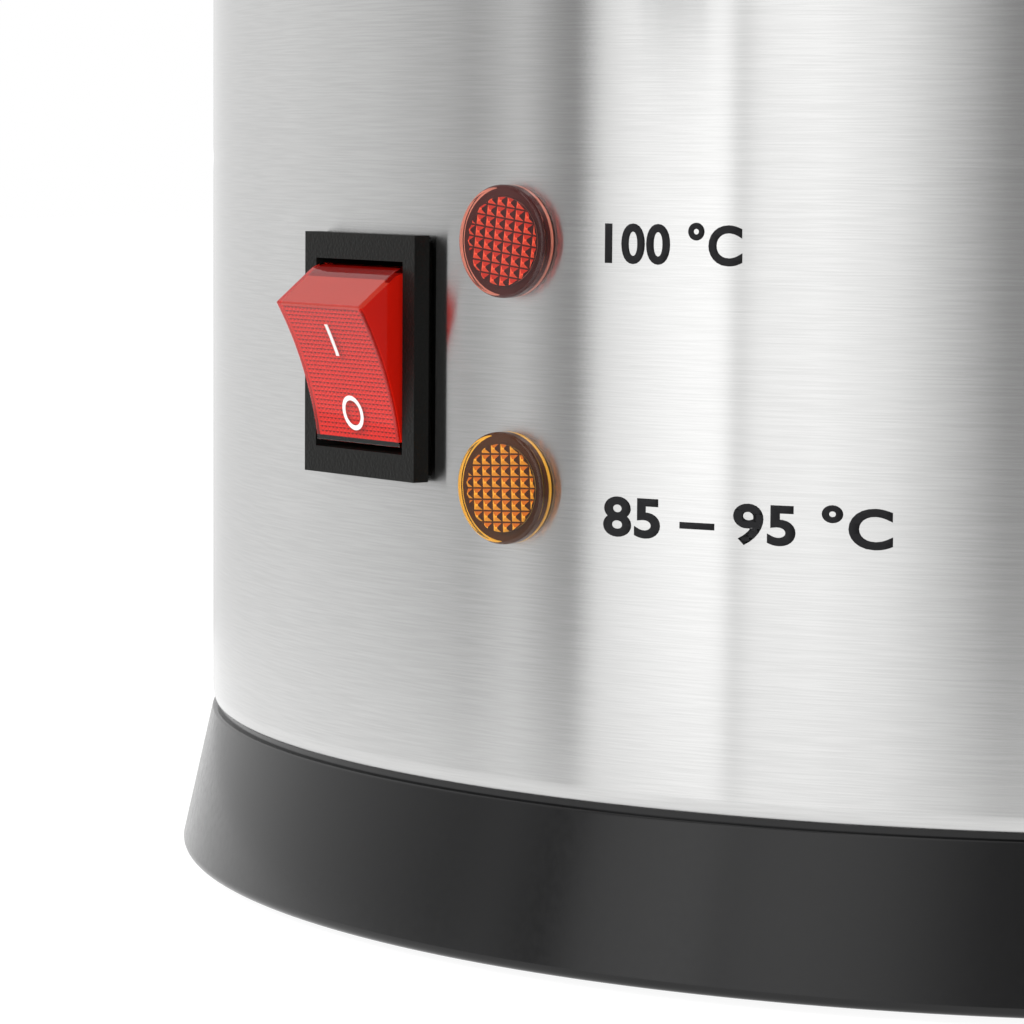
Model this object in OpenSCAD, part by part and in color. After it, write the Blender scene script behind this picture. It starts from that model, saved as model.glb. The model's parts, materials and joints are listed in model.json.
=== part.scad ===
// Hot water urn: a double-walled steel body on a moulded base, heated from below,
// with a lift-off lid, a sprung lever tap, a water gauge, a rocker switch and two lamps.
// Millimetres. +Z is up, the origin is on the body's axis where the urn stands,
// and the tap points to -Y. Angles round the body count from -Y towards +X.

/* [Shell] */
// Outside diameter of the steel shell
shell_d = 250; // [230:1:290]
// Height of the steel shell
shell_h = 362.4; // [330:0.1:420]
// Sheet thickness of the shell
shell_wall = 0.8; // [0.5:0.1:1.2]
// How far the shell's lower edge is rolled in
hem_in = 0.6; // [0.2:0.1:1.2]
// Height of the rolled lower edge
hem_h = 2.5; // [1:0.1:5]
// Height of the swaged bead above the shell's lower edge
bead_up = 78.8; // [70:0.1:90]
// Height of the swaged bead
bead_h = 3.6; // [2:0.1:5]
// Depth of the swaged bead
bead_depth = 0.1; // [0.05:0.05:0.5]

/* [Base] */
// Diameter of the base skirt at its foot
foot_d = 259.2; // [254:0.1:300]
// Height of the base skirt
base_h = 20.7; // [17:0.1:30]
// Height of the shadow gap between the skirt and the shell
base_gap = 0.9; // [0.5:0.1:2]
// Rounding of the skirt's foot
foot_round = 1.2; // [1:0.1:2.8]
// Wall thickness of the skirt
skirt_wall = 2.6; // [2:0.1:4]
// How far the skirt's spigot reaches up inside the shell
spigot_h = 9.4; // [6:0.1:14]
// How far the rubber ring stands below the skirt
foot_proud = 1; // [0.5:0.1:2]
// Width of the rubber ring
foot_ring_w = 5; // [3:0.5:6]
// How deep the rubber ring sits in its groove
foot_ring_in = 2; // [1:0.1:3]
// Thickness of the bottom plate
plate_t = 1; // [0.8:0.1:1.5]
// Distance from midway between the foot's edge and the shell in to the base screws
base_screw_in = 20.9; // [18:0.1:26]
// Nominal diameter of the base screws
base_screw_d = 4; // [3:0.5:5]

/* [Tank and lid] */
// Air gap between the shell's outside and the tank's outside, on radius
tank_gap = 11; // [10.5:0.1:16]
// Sheet thickness of the tank
tank_wall = 0.8; // [0.5:0.1:1.2]
// Height of the electrical compartment, from the shell's lower edge to the tank's floor
compartment_h = 106.4; // [104:0.1:112]
// Height of the lip that folds down over the shell
lip_h = 6; // [3:0.5:12]
// Sheet thickness of the lid
lid_wall = 0.8; // [0.6:0.1:1.2]
// Rise of the lid's dome
lid_rise = 24; // [14:1:40]
// Depth of the skirt under the lid
lid_skirt = 12; // [9:0.5:16]
// Radius of the lid's rolled edge
lid_edge_r = 1.3; // [0.8:0.1:2]
// Diameter of the lid's knob
knob_d = 42; // [34:1:52]
// Height of the lid's knob
knob_h = 26; // [22:1:34]
// Diameter of the steam vents
vent_d = 4; // [3:0.5:6]
// Radius of the circle of steam vents
vent_ring = 42; // [34:1:60]

/* [Handles] */
// Height of the side handles above the shell's lower edge
handle_up = 290; // [240:1:310]
// Distance between a handle's two legs
handle_span = 84; // [74:1:96]
// Distance from the shell to the middle of the grip
handle_reach = 42; // [38:1:52]
// Diameter of the grip
grip_d = 18; // [15:1:22]
// Nominal diameter of the handle screws
handle_screw_d = 5; // [4:0.5:6]

/* [Tap] */
// Height of the tap's shank above the tank's floor
tap_up = 20; // [19:0.5:26]
// Distance from the shell to the middle of the valve
tap_reach = 47; // [45:1:60]
// Outside diameter of the shank
shank_d = 16; // [14:0.5:18]
// Outside diameter of the valve body
valve_d = 26; // [24:0.5:30]
// Length of the spout below the shank's middle
spout_drop = 24; // [22:0.5:26]
// Bore of the spout
spout_bore = 10; // [8:0.5:11]
// How far the lever swings open
lever_swing = 24; // [12:1:24]
// Length of the lever's grip, measured from its pivot
lever_l = 46; // [36:1:60]
// Distance between the lever's pivot and the stem
lever_arm = 8; // [8:0.5:10]

/* [Water gauge] */
// Distance from the shell to the middle of the gauge
gauge_reach = 15; // [14.5:0.5:17]
// Outside diameter of the gauge tube
gauge_d = 10; // [8:0.5:10]
// Wall thickness of the gauge tube
gauge_wall = 1.2; // [0.8:0.1:1.5]
// Distance from the shell's upper edge down to the gauge's cap
gauge_down = 33; // [27:1:90]

/* [Switch] */
// Angle of the switch round the body
switch_angle = -14.9; // [-20:0.1:-13]
// Height of the switch above the shell's lower edge
switch_up = 54.1; // [45:0.1:60]
// Width of the bezel
bezel_w = 24.3; // [24:0.1:28]
// Height of the bezel
bezel_h = 31.4; // [30:0.1:36]
// How far the bezel stands proud of the shell
bezel_proud = 2.3; // [2:0.1:4]
// Width of the rocker
rocker_w = 18.4; // [16:0.1:19]
// Radius of the rocker's ends round its pivot
rocker_r = 11.9; // [10.5:0.1:12.4]
// Tilt of the rocker each way from the middle
rocker_tilt = 20; // [14:1:21]
// Clearance round the rocker
rocker_gap = 0.4; // [0.3:0.05:0.6]
// Depth of the switch housing behind the shell
housing_depth = 20; // [19:0.5:26]

/* [Lamps] */
// Angle of the two lamps round the body
lamp_angle = -3.05; // [-4:0.05:2]
// Height of the upper lamp above the shell's lower edge
heat_lamp_up = 69.4; // [64:0.1:72]
// Height of the lower lamp above the shell's lower edge
warm_lamp_up = 38.6; // [32:0.1:46]
// Diameter of a lamp's head
lamp_d = 14.1; // [13.5:0.1:17]
// How far a lamp's head stands proud of the shell
lamp_proud = 2; // [1.7:0.1:3.5]
// Diameter of a lamp's barrel
lamp_barrel_d = 11.6; // [10:0.1:12]

/* [Heater] */
// Diameter of the heater plate
heater_d = 146; // [140:1:170]
// Thickness of the heater plate
heater_t = 4; // [3:0.5:6]
// Radius of the heating ring
element_ring = 52; // [46:0.5:54]
// Diameter of the heating tube
element_d = 8; // [6:0.5:9]
// Diameter of a thermostat's cup
thermostat_d = 16; // [14:0.5:18]

/* [Power inlet] */
// Height of the power inlet above the shell's lower edge
inlet_up = 40; // [34:0.5:50]
// Distance between the inlet's two screws
inlet_screw_span = 40; // [38:0.5:44]

/* [Hidden] */
$fn = 96;
eps = 0.01;
// Overlap of joined shapes, and of a cut past a face
lap = 1;
// Length of a cut through one side of the shell
wall_cut = 20;
// Longer than any piece, for a cut that passes right through
beyond = 3 * shell_h;

// Levels and radii of the body
shell_r = shell_d / 2;
shell_in = shell_r - shell_wall;
shoulder_z = foot_proud + base_h;
steel_z = shoulder_z + base_gap;
rim_z = steel_z + shell_h;
bead_z = steel_z + bead_up;
tank_r = shell_r - tank_gap;
tank_in = tank_r - tank_wall;
tank_z = steel_z + compartment_h;
tank_corner = 6;
seat_z = rim_z + tank_wall;
lip_clear = 0.2;
fit = 0.2;

// Base
foot_r = foot_d / 2;
base_screw_ring = (foot_r + shell_in) / 2 - base_screw_in;
spigot_r = shell_in - hem_in - fit;
ledge_r = shell_r - hem_in - fit;
land_in = base_screw_ring - 7;
plate_r = base_screw_ring + 8;
plate_fit = 0.4;
plate_up = 2;
plate_z = foot_proud + plate_up;
land_z = plate_z + plate_t;
land_t = 3;
ring_mid = (plate_r + plate_fit + foot_r) / 2 - 0.5;
boss_r = 5;
rib_t = 3;
hollow_taper = 1.2;
slot_size = [3, 16];
slot_pitch = 12;
slot_rows = [-70, -45];
base_screw_r = base_screw_d / 2;
base_head_r = base_screw_r * 1.9;
base_head_h = 1.8;
lug_z = steel_z + spigot_h;
lug_t = 1.5;
lug_w = 16;
lug_h = 16;
weld_nut_h = 4;
weld_nut_r = base_screw_r * 2.1;
base_screw_angles = [45, 135, 225, 315];

// Lid
lid_r = shell_r - 1;
dome_r = lid_r - 6;
dome_R = (dome_r * dome_r + lid_rise * lid_rise) / (2 * lid_rise);
dome_c = seat_z + lid_rise - dome_R;
knob_land_r = 15;
knob_foot_r = 12;
knob_foot_h = 2;
knob_neck_r = 9;
knob_round = 6;
knob_waist = [15, 5.5];
knob_waist_r = 6.1;
knob_head_r = 5;
knob_head_h = 2.4;
knob_z = dome_c + sqrt(dome_R * dome_R - knob_land_r * knob_land_r);
gasket_gap = 0.4;
gasket_h = 4;
gasket_z = seat_z - lid_skirt + 2;
lid_skirt_r = tank_in - 1.6;
knob_screw_r = 2.5;
knob_screw_in = 12;

// Handles
handle_z = steel_z + handle_up;
grip_r = grip_d / 2;
elbow_r = 13;
grip_x = shell_r + handle_reach;
leg_y = handle_span / 2;
pad_r = grip_r + 4;
pad_t = 5;
bracket_t = 1.6;
bracket_in = shell_in - bracket_t;
bracket_h = 22;
bracket_end = 3;
screw_land_r = 6;
screw_land_x = sqrt(pow(bracket_in, 2) - pow(leg_y + screw_land_r, 2)) - fit;
handle_screw_r = handle_screw_d / 2;
handle_head_r = 4.6;
handle_head_h = 2.6;
handle_screw_reach = 26;

// Tap, whose shank lies along Y at x = 0
tap_z = tank_z + tap_up;
shank_r = shank_d / 2;
shank_bore_r = 4.5;
valve_y = -(shell_r + tap_reach);
valve_r = valve_d / 2;
chamber_r = valve_r - 4;
seat_level = tap_z - 6;
valve_foot = tap_z - 11;
spout_z = tap_z - spout_drop;
spout_bore_r = spout_bore / 2;
spout_tip_r = spout_bore_r + 3;
spout_tip_h = 5;
spout_shoulder = 1.5;
shank_inside = 12;
valve_top = tap_z + 17;
collar_r = 14;
collar_t = 4;
gasket_t = 2;
gasket_r = 12.5;
gasket_sink = 3;
nut_r = 13;
nut_t = 6;
bonnet_r = valve_r + 2;
bonnet_z = valve_top - 6;
bonnet_h = 20;
bonnet_top = bonnet_z + bonnet_h;
bonnet_roof = 5;
bonnet_chamfer = 3;
stem_r = 3;
stem_clear = 1;
stem_end = 4;
stem_in_cup = 3;
run_fit = 0.05;
cup_r = chamber_r - 1.5;
cup_h = 8;
pivot_z = bonnet_top + 9;
pivot_y = valve_y - lever_arm;
pin_r = 1.5;
pivot_lug_r = 4;
lug_half = 4.8;
cheek_in = lug_half + 0.4;
cheek_t = 2.6;
cheek_r = 5;
cheek_l = 14;
cheek_step = 0.8;
bridge_t = 7;
grip_flare = 2.4;
stem_pin_reach = cheek_in + cheek_t;
slot_clear = 0.2;
slot_run = lever_arm / cos(lever_swing) - lever_arm + slot_clear;
grip_lift = 18;
spring_wire = 0.6;
spring_r = 6;
spring_turns = 7;

// Water gauge, standing on the shank
gauge_y = -(shell_r + gauge_reach);
gauge_r = gauge_d / 2;
gauge_bore_r = gauge_r - gauge_wall;
tee_r = gauge_r + 3.5;
tee_top = tap_z + 20;
gauge_foot = tee_top - 7;
gauge_fit = 0.2;
seal_h = 4;
seal_r = gauge_r + 2;
gland_r = tee_r + 1.5;
gland_z = tee_top - 3;
gland_h = 10;
gland_top = gland_z + gland_h;
guard_in = gauge_r + 1.4;
guard_r = guard_in + 0.8;
guard_slot = 8;
slot_end = 6;
cap_z = rim_z - gauge_down;
cap_h = 14;
cap_chamfer = 2;
cap_vent_r = 1;
cap_r = guard_r + 1.2;
tube_in_cap = 6;
tube_top = cap_z + tube_in_cap;
gauge_arm = 10;
gauge_screw_r = 2;
gauge_screw_z = cap_z + cap_h / 2;
gauge_screw_in = 9;
gauge_head_r = 3.8;
gauge_head_h = 1.8;

// Switch
switch_z = steel_z + switch_up;
pivot_behind = 3.2;
pivot_in = pivot_behind - bezel_proud;
window_w = rocker_w + 2 * rocker_gap;
window_h = 2 * (rocker_r + rocker_gap);
housing_wall = 1.3;
housing_end_wall = 1.5;
housing_w = window_w + 2 * housing_wall;
housing_h = window_h + 2 * housing_end_wall;
cutout_gap = 0.2;
seat_step = 0.7;
seat_w = bezel_w - 2 * seat_step;
seat_h = bezel_h - 2 * seat_step;
pin_bore_end = 0.2;
wing = [2, 3, 12];
wing_gap = 0.6;
housing_back = 2.5;
face_rise = 6;
face_dip = 48;
rocker_skin = 1.5;
rocker_back = -2;
rocker_pin_r = 1.5;
rocker_pin_in = 1;
hub_r = 3.2;
hub_w = 3;
plunger_r = 1.2;
plunger_u = 4.2;
plunger_tip = 10.6;
plunger_boss = 2.2;
plunger_hold = 6;
arm_pivot = 12.4;
arm_tilt = 8;
arm_t = 0.8;
arm_w = 4;
arm_half = 8;
arm_face = plunger_tip + 0.5;
arm_hub_r = arm_pivot - arm_face;
arm_fold = 14;
arm_pin_r = 1;
arm_pin_gap = 0.3;
blade_w = 5.5;
blade_pitch = 7;
blade_rows = [-blade_pitch, 0, blade_pitch];
blade_t = 0.8;
blade_out = 9;
blade_u = 4.2;

// Lamps
lamp_r = lamp_d / 2;
barrel_r = lamp_barrel_d / 2;
barrel_l = 8;
lens_wall = 1.2;
body_l = 14;
body_spigot = 4;
bulb_seat = 4;
bulb_r = 2.4;
bulb_gap = 0.3;
bulb_l = 5;
clip_r = barrel_r + 2.6;
clip_t = 2.5;
lead_r = 0.8;
wire_r = 1.1;
wire_start = 8;
pin_approach = 7;
tab_approach = 10;
block_approach = 8;
earth_approach = 8.5;
lead_l = 6;
lead_gap = 2.2;
lamp_levels = [steel_z + heat_lamp_up, steel_z + warm_lamp_up];

// Heater
heater_r = heater_d / 2;
heater_z = tank_z - heater_t;
element_r = element_d / 2;
element_z = heater_z - element_r;
element_gap_angle = 24;
cold_end_down = 8;
cold_end_z = bead_z - cold_end_down;
shield_z = bead_z + bead_h / 2 + 0.4;
shield_t = 0.8;
shield_lip = 8;
shield_r = shell_in - bead_depth / 2;
stud_r = 2.5;
stud_end = 2;
stud_ring = heater_r - 7;
stud_angles = [60, 180, 300];
nut_h = 4;
nut_across = 8;
cold_end_r = element_r - 0.6;
cold_end_turn = 5;
cold_pin_r = 1.3;
cold_pin_l = 8;
pin_end_z = cold_end_z - cold_pin_l;
element_hole = element_r + 0.8;
wire_hole_y = 34;
wire_hole_r = 7;
capillary_hole = [-48, 40];
capillary_hole_r = 4;
capillary_y = 6;
capillary_r = 1;
bulb_end = [-14, 26];
sensor_r = 3;
sensor_l = 40;
thermostat_r = thermostat_d / 2;
thermostat_off = 24;
cup_t = 4;
therm_body_r = thermostat_r - 1;
therm_body_h = 7;
therm_tab_h = 5;
therm_tab_y = 4;
therm_ear = 13;
strap_w = 10;
strap_t = 1;
strap_end = 4;
therm_screw_r = 1.5;
therm_screw_in = 2;
therm_head_r = 2.8;
therm_head_h = 1.6;

// Parts standing on the bottom plate
floor_z = plate_z + plate_t;
cutout_xy = [-48, 10];
cutout_size = [26, 22, 20];
cutout_tab_h = 8;
cutout_tab_x = 7;
button_r = 3;
button_in = 6;
button_clear = 0.6;
button_travel = 1.5;
button_down = 1.7;
block_xy = [45, 25];
block_size = [34, 20, 16];
block_pitch = 8;
block_bore_r = 2;
block_well_r = 2.2;
block_screw_r = 1.6;
block_screw_x = block_size[0] / 2 - 4;
block_head_r = 3;
block_head_h = 1.6;
earth_xy = [30, 60];
earth_r = 2;
earth_l = 16;
earth_nut_r = 4;
earth_nut_h = 3;
earth_ring_r = 4.5;
earth_ring_t = 1.5;

// Power inlet
inlet_z = steel_z + inlet_up;
inlet_flange = [50, 24];
inlet_proud = 3.4;
flange_sink = 8;
inlet_cavity = [24, 16.5];
inlet_depth = 16.5;
inlet_wall = 1.8;
inlet_back = 2.5;
inlet_pin = [2, 4];
inlet_pin_u = 7;
inlet_pin_up = 2;
inlet_pin_l = 13;
inlet_tab_l = 8;
inlet_screw_r = 1.75;
inlet_screw_l = 12;
inlet_head_r = 3.4;
inlet_head_h = 1.8;
inlet_chamfer = 4;

// Place children on the shell, outward along -Y
module at_shell(angle, z) {
    translate([0, 0, z]) rotate([0, 0, angle]) translate([0, -shell_r, 0]) children();
}

// Turn a shape drawn along +Z so that it points outward along -Y
module outward() {
    rotate([90, 0, 0]) children();
}

// Extrude a side view, drawn with outward to the right, to a width across the shell
module side_view(width) {
    rotate([90, 0, -90]) linear_extrude(width, center = true) children();
}

module tube(r_out, r_in, h) {
    difference() {
        cylinder(r = r_out, h = h);
        translate([0, 0, -eps]) cylinder(r = r_in, h = h + 2 * eps);
    }
}

module rod_x(r, half) {
    rotate([0, 90, 0]) cylinder(r = r, h = 2 * half, center = true);
}

module hex_nut(across, bore, h) {
    difference() {
        cylinder(r = across / sqrt(3), h = h, $fn = 6);
        translate([0, 0, -eps]) cylinder(r = bore, h = h + 2 * eps);
    }
}

module pan_screw(r, l, head_r, head_h) {
    cylinder(r = r, h = l);
    translate([0, 0, -head_h]) cylinder(r = head_r, h = head_h);
}

// Tube swept along a path. Its end faces are square to the path, or to the directions in ends
function unit(v) = v / norm(v);
function along(p, i) = unit(p[min(i + 1, len(p) - 1)] - p[max(i - 1, 0)]);
function flatten_to(v, t) = unit(v - (v * t) * t);
function first_side(t) = flatten_to(abs(t[2]) < 0.8 ? [0, 0, 1] : [1, 0, 0], t);
function sides_of(t) = [
    for (i = 0, s = first_side(t[0]); i < len(t);
         i = i + 1, s = flatten_to(s, t[min(i, len(t) - 1)])) s
];
function ring_at(c, t, s, r, n) = [
    for (k = [0:n - 1]) let (a = 360 * k / n) c + r * (cos(a) * s + sin(a) * cross(t, s))
];
function spline(a, b, c, d, t) =
    0.5 * (2 * b + (c - a) * t + (2 * a - 5 * b + 4 * c - d) * t * t
           + (3 * b - a - 3 * c + d) * t * t * t);
function smooth(p, steps) = [
    for (i = [0:len(p) - 2], k = [0:steps - 1])
        spline(p[max(i - 1, 0)], p[i], p[i + 1], p[min(i + 2, len(p) - 1)], k / steps),
    p[len(p) - 1]
];

module swept(path, r, n = 8, ends = []) {
    m = len(path);
    square_to = len(ends) > 0 ? ends : [along(path, 0), along(path, m - 1)];
    way = [square_to[0], for (i = [1:m - 2]) along(path, i), square_to[1]];
    side = sides_of(way);
    points = [for (i = [0:m - 1]) each ring_at(path[i], way[i], side[i], r, n)];
    walls = [for (i = [0:m - 2], k = [0:n - 1])
        [i * n + k, (i + 1) * n + k, (i + 1) * n + (k + 1) % n, i * n + (k + 1) % n]];
    polyhedron(points, concat(walls,
        [[for (k = [0:n - 1]) k]], [[for (k = [0:n - 1]) m * n - 1 - k]]), convexity = 6);
}

// ---- Base ----

// Middle of the circle that rounds the skirt's foot
skirt_run = foot_r - shell_r;
skirt_slant = sqrt(skirt_run * skirt_run + base_h * base_h);
round_r = foot_r - foot_round * (skirt_slant + skirt_run) / base_h;
round_z = foot_proud + foot_round;

module base_skirt() {
    color("#1d1d1f") difference() {
        rotate_extrude($fn = 180) difference() {
            union() {
                polygon([
                    [plate_r + plate_fit, foot_proud], [round_r, foot_proud],
                    [round_r + foot_round * base_h / skirt_slant,
                     round_z + foot_round * skirt_run / skirt_slant],
                    [shell_r, shoulder_z], [ledge_r, shoulder_z],
                    [ledge_r, steel_z], [spigot_r, steel_z],
                    [spigot_r, lug_z], [land_in, lug_z], [land_in, land_z],
                    [plate_r + plate_fit, land_z]
                ]);
                translate([round_r, round_z]) circle(foot_round);
            }
            translate([ring_mid - foot_ring_w / 2, foot_proud - lap])
                square([foot_ring_w, foot_ring_in + lap]);
        }
        // The hollow between the skirt's wall and its foot, with a boss and a rib at each screw
        difference() {
            rotate_extrude($fn = 180) polygon([
                [land_in - lap, land_z + land_t],
                [foot_r - skirt_wall - foot_round, land_z + land_t],
                [shell_r - skirt_wall - hollow_taper, shoulder_z - skirt_wall],
                [spigot_r - skirt_wall, shoulder_z - skirt_wall],
                [spigot_r - skirt_wall, lug_z + lap], [land_in - lap, lug_z + lap]
            ]);
            for (a = base_screw_angles) rotate([0, 0, a]) translate([base_screw_ring, 0, 0]) {
                cylinder(r = boss_r, h = beyond);
                translate([0, -rib_t / 2, 0]) cube([foot_r, rib_t, beyond]);
            }
        }
        for (a = base_screw_angles) rotate([0, 0, a])
            translate([base_screw_ring, 0, 0]) cylinder(r = base_screw_r + fit, h = lug_z + lap);
    }
}

module foot_ring() {
    color("#111111") tube_between(ring_mid - foot_ring_w / 2, ring_mid + foot_ring_w / 2,
                                  0, foot_proud + foot_ring_in);
}

module tube_between(r_in, r_out, z0, z1) {
    rotate_extrude($fn = 180) translate([r_in, z0]) square([r_out - r_in, z1 - z0]);
}

module bottom_plate() {
    color("#8f9296") difference() {
        translate([0, 0, plate_z]) cylinder(r = plate_r, h = plate_t, $fn = 180);
        for (a = base_screw_angles) rotate([0, 0, a])
            translate([base_screw_ring, 0, 0]) cylinder(r = base_screw_r + fit, h = beyond);
        translate([cutout_xy[0], cutout_xy[1], 0])
            cylinder(r = button_r + button_clear, h = beyond);
        translate([earth_xy[0], earth_xy[1], 0]) cylinder(r = earth_r, h = beyond);
        for (s = [-1, 1]) translate([block_xy[0] + s * block_screw_x, block_xy[1], 0])
            cylinder(r = block_screw_r, h = beyond);
        // Rows of cooling slots
        for (i = [-3:3], y = slot_rows)
            translate([i * slot_pitch - slot_size[0] / 2, y, plate_z - lap])
                cube([slot_size[0], slot_size[1], plate_t + 2 * lap]);
    }
}

module base_screws() {
    color("#b9bcc0") for (a = base_screw_angles) rotate([0, 0, a])
        translate([base_screw_ring, 0, plate_z])
            pan_screw(base_screw_r, lug_z + lug_t + weld_nut_h - plate_z,
                      base_head_r, base_head_h);
}

module shell_lugs() {
    color("#a9acb0") for (a = base_screw_angles) rotate([0, 0, a]) difference() {
        union() {
            intersection() {
                translate([land_in, -lug_w / 2, lug_z]) cube([shell_in - land_in, lug_w, lug_t]);
                cylinder(r = shell_in, h = beyond, $fn = 180);
            }
            intersection() {
                translate([0, -lug_w / 2, lug_z]) cube([shell_r, lug_w, lug_h]);
                tube_between(shell_in - lug_t, shell_in, lug_z, lug_z + lug_h);
            }
            translate([base_screw_ring, 0, lug_z + lug_t])
                cylinder(r = weld_nut_r, h = weld_nut_h, $fn = 6);
        }
        translate([base_screw_ring, 0, 0]) cylinder(r = base_screw_r, h = beyond);
    }
}

// ---- Shell and tank ----

module outer_shell() {
    color("#c9c9c7") difference() {
        rotate_extrude($fn = 180) polygon(concat(shell_line(0), reversed(shell_line(shell_wall))));
        at_shell(switch_angle, switch_z)
            cube([housing_w + 2 * cutout_gap, wall_cut, housing_h + 2 * cutout_gap], center = true);
        for (z = lamp_levels) at_shell(lamp_angle, z)
            outward() cylinder(r = barrel_r + fit, h = wall_cut, center = true);
        at_shell(0, tap_z) outward() cylinder(r = shank_r + fit, h = wall_cut, center = true);
        at_shell(0, gauge_screw_z)
            outward() cylinder(r = gauge_screw_r + fit, h = wall_cut, center = true);
        at_shell(180, inlet_z) {
            cube([inlet_cavity[0] + 2 * inlet_wall + 2 * cutout_gap, wall_cut,
                  inlet_cavity[1] + 2 * inlet_wall + 2 * cutout_gap], center = true);
            for (s = [-1, 1]) translate([s * inlet_screw_span / 2, 0, 0])
                outward() cylinder(r = inlet_screw_r, h = wall_cut, center = true);
        }
        for (y = [-leg_y, leg_y]) translate([0, y, handle_z])
            rod_x(handle_screw_r + fit, beyond);
    }
}

// The sheet's outline from bottom to top, moved inward by a distance
function shell_line(inward) = [
    for (p = [[hem_in, steel_z], [0, steel_z + hem_h], [0, bead_z - bead_h / 2],
              [bead_depth, bead_z - bead_h / 8], [bead_depth, bead_z + bead_h / 8],
              [0, bead_z + bead_h / 2], [0, rim_z]])
        [shell_r - inward - p[0], p[1]]
];
function reversed(list) = [for (i = [len(list) - 1:-1:0]) list[i]];

module heat_shield() {
    color("#b3b6b9") difference() {
        union() {
            tube_between(0, shield_r, shield_z, shield_z + shield_t);
            tube_between(shield_r - shield_t, shield_r, shield_z, shield_z + shield_lip);
        }
        for (a = stud_angles) rotate([0, 0, a])
            translate([stud_ring, 0, 0]) cylinder(r = stud_r, h = tank_z);
        element_ends() cylinder(r = element_hole, h = tank_z);
        translate([capillary_hole[0], capillary_hole[1], 0])
            cylinder(r = capillary_hole_r, h = tank_z);
        for (s = [-1, 1]) translate([0, s * wire_hole_y, 0])
            cylinder(r = wire_hole_r, h = tank_z);
    }
}

module inner_tank() {
    color("#d4d4d2") difference() {
        rotate_extrude($fn = 180) difference() {
            tank_outline(tank_r, tank_z, tank_corner);
            tank_outline(tank_in, tank_z + tank_wall, tank_corner - tank_wall);
        }
        translate([0, -tank_r, tap_z]) outward()
            cylinder(r = shank_r + fit, h = 2 * wall_cut, center = true);
    }
}

// The ring that joins the tank to the shell and folds down over the shell's edge
module tank_rim() {
    color("#cfcfcd") rotate_extrude($fn = 180) {
        translate([tank_r, rim_z]) square([shell_r + lip_clear - tank_r + tank_wall, tank_wall]);
        translate([shell_r + lip_clear, seat_z - lip_h]) square([tank_wall, lip_h]);
    }
}

// Half section of a cup with a rounded floor corner, open above the rim
module tank_outline(r, z, corner) {
    translate([0, z + corner]) square([r, seat_z - z - corner]);
    translate([0, z]) square([r - corner, corner + lap]);
    translate([r - corner, z + corner]) circle(corner);
}

// ---- Lid ----

module lid_dome() {
    color("#cfcfcd") difference() {
        rotate_extrude($fn = 180) {
            difference() {
                intersection() {
                    translate([0, dome_c]) circle(dome_R, $fn = 720);
                    translate([0, seat_z]) square([dome_r, knob_z - seat_z]);
                }
                translate([0, dome_c]) circle(dome_R - lid_wall, $fn = 720);
            }
            translate([knob_screw_r, knob_z - lid_wall])
                square([knob_land_r - knob_screw_r, lid_wall]);
            translate([lid_skirt_r - lid_wall, seat_z])
                square([lid_r - lid_edge_r - lid_skirt_r + lid_wall, lid_wall]);
            translate([lid_r - lid_edge_r, seat_z + lid_edge_r]) circle(lid_edge_r);
        }
        for (a = [90, 210, 330]) rotate([0, 0, a])
            translate([vent_ring, 0, seat_z]) cylinder(r = vent_d / 2, h = beyond);
        cylinder(r = knob_screw_r, h = beyond);
    }
}

// The ring under the lid that fits inside the tank
module lid_collar() {
    color("#cfcfcd") tube_between(lid_skirt_r - lid_wall, lid_skirt_r,
                                  seat_z - lid_skirt, seat_z);
}

module lid_gasket() {
    color("#d8d8d2") tube_between(lid_skirt_r, tank_in - gasket_gap,
                                  gasket_z, gasket_z + gasket_h);
}

module lid_knob() {
    color("#19191a") translate([0, 0, knob_z]) difference() {
        rotate_extrude() difference() {
            union() {
                square([knob_foot_r, knob_foot_h]);
                square([knob_neck_r, knob_h - knob_round]);
                translate([0, knob_h - 2 * knob_round])
                    square([knob_d / 2 - knob_round, 2 * knob_round]);
                translate([knob_d / 2 - knob_round, knob_h - knob_round]) circle(knob_round);
            }
            translate(knob_waist) circle(knob_waist_r);
        }
        translate([0, 0, -lap]) cylinder(r = knob_screw_r, h = knob_screw_in + lap);
    }
}

module lid_knob_screw() {
    color("#b9bcc0") translate([0, 0, knob_z - lid_wall])
        pan_screw(knob_screw_r, knob_screw_in + lid_wall - lap, knob_head_r, knob_head_h);
}

// ---- Handles ----

module handle(side) {
    mirror([side < 0 ? 1 : 0, 0, 0]) color("#1b1b1c") translate([0, 0, handle_z]) difference() {
        union() {
            rotate([90, 0, 0]) translate([grip_x, 0, 0])
                cylinder(r = grip_r, h = handle_span - 2 * elbow_r, center = true);
            for (s = [-1, 1]) mirror([0, s < 0 ? 1 : 0, 0]) {
                translate([grip_x - elbow_r, leg_y - elbow_r, 0])
                    rotate_extrude(angle = 90) translate([elbow_r, 0]) circle(grip_r);
                translate([0, leg_y, 0]) rotate([0, 90, 0]) {
                    cylinder(r = grip_r, h = grip_x - elbow_r);
                    cylinder(r = pad_r, h = sqrt(shell_r * shell_r - leg_y * leg_y) + pad_t);
                }
            }
        }
        cylinder(r = shell_r, h = beyond, center = true, $fn = 180);
        for (y = [-leg_y, leg_y]) translate([0, y, 0]) rotate([0, 90, 0])
            cylinder(r = handle_screw_r, h = screw_land_x + handle_screw_reach);
    }
}

module handle_left() { handle(-1); }
module handle_right() { handle(1); }

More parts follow.
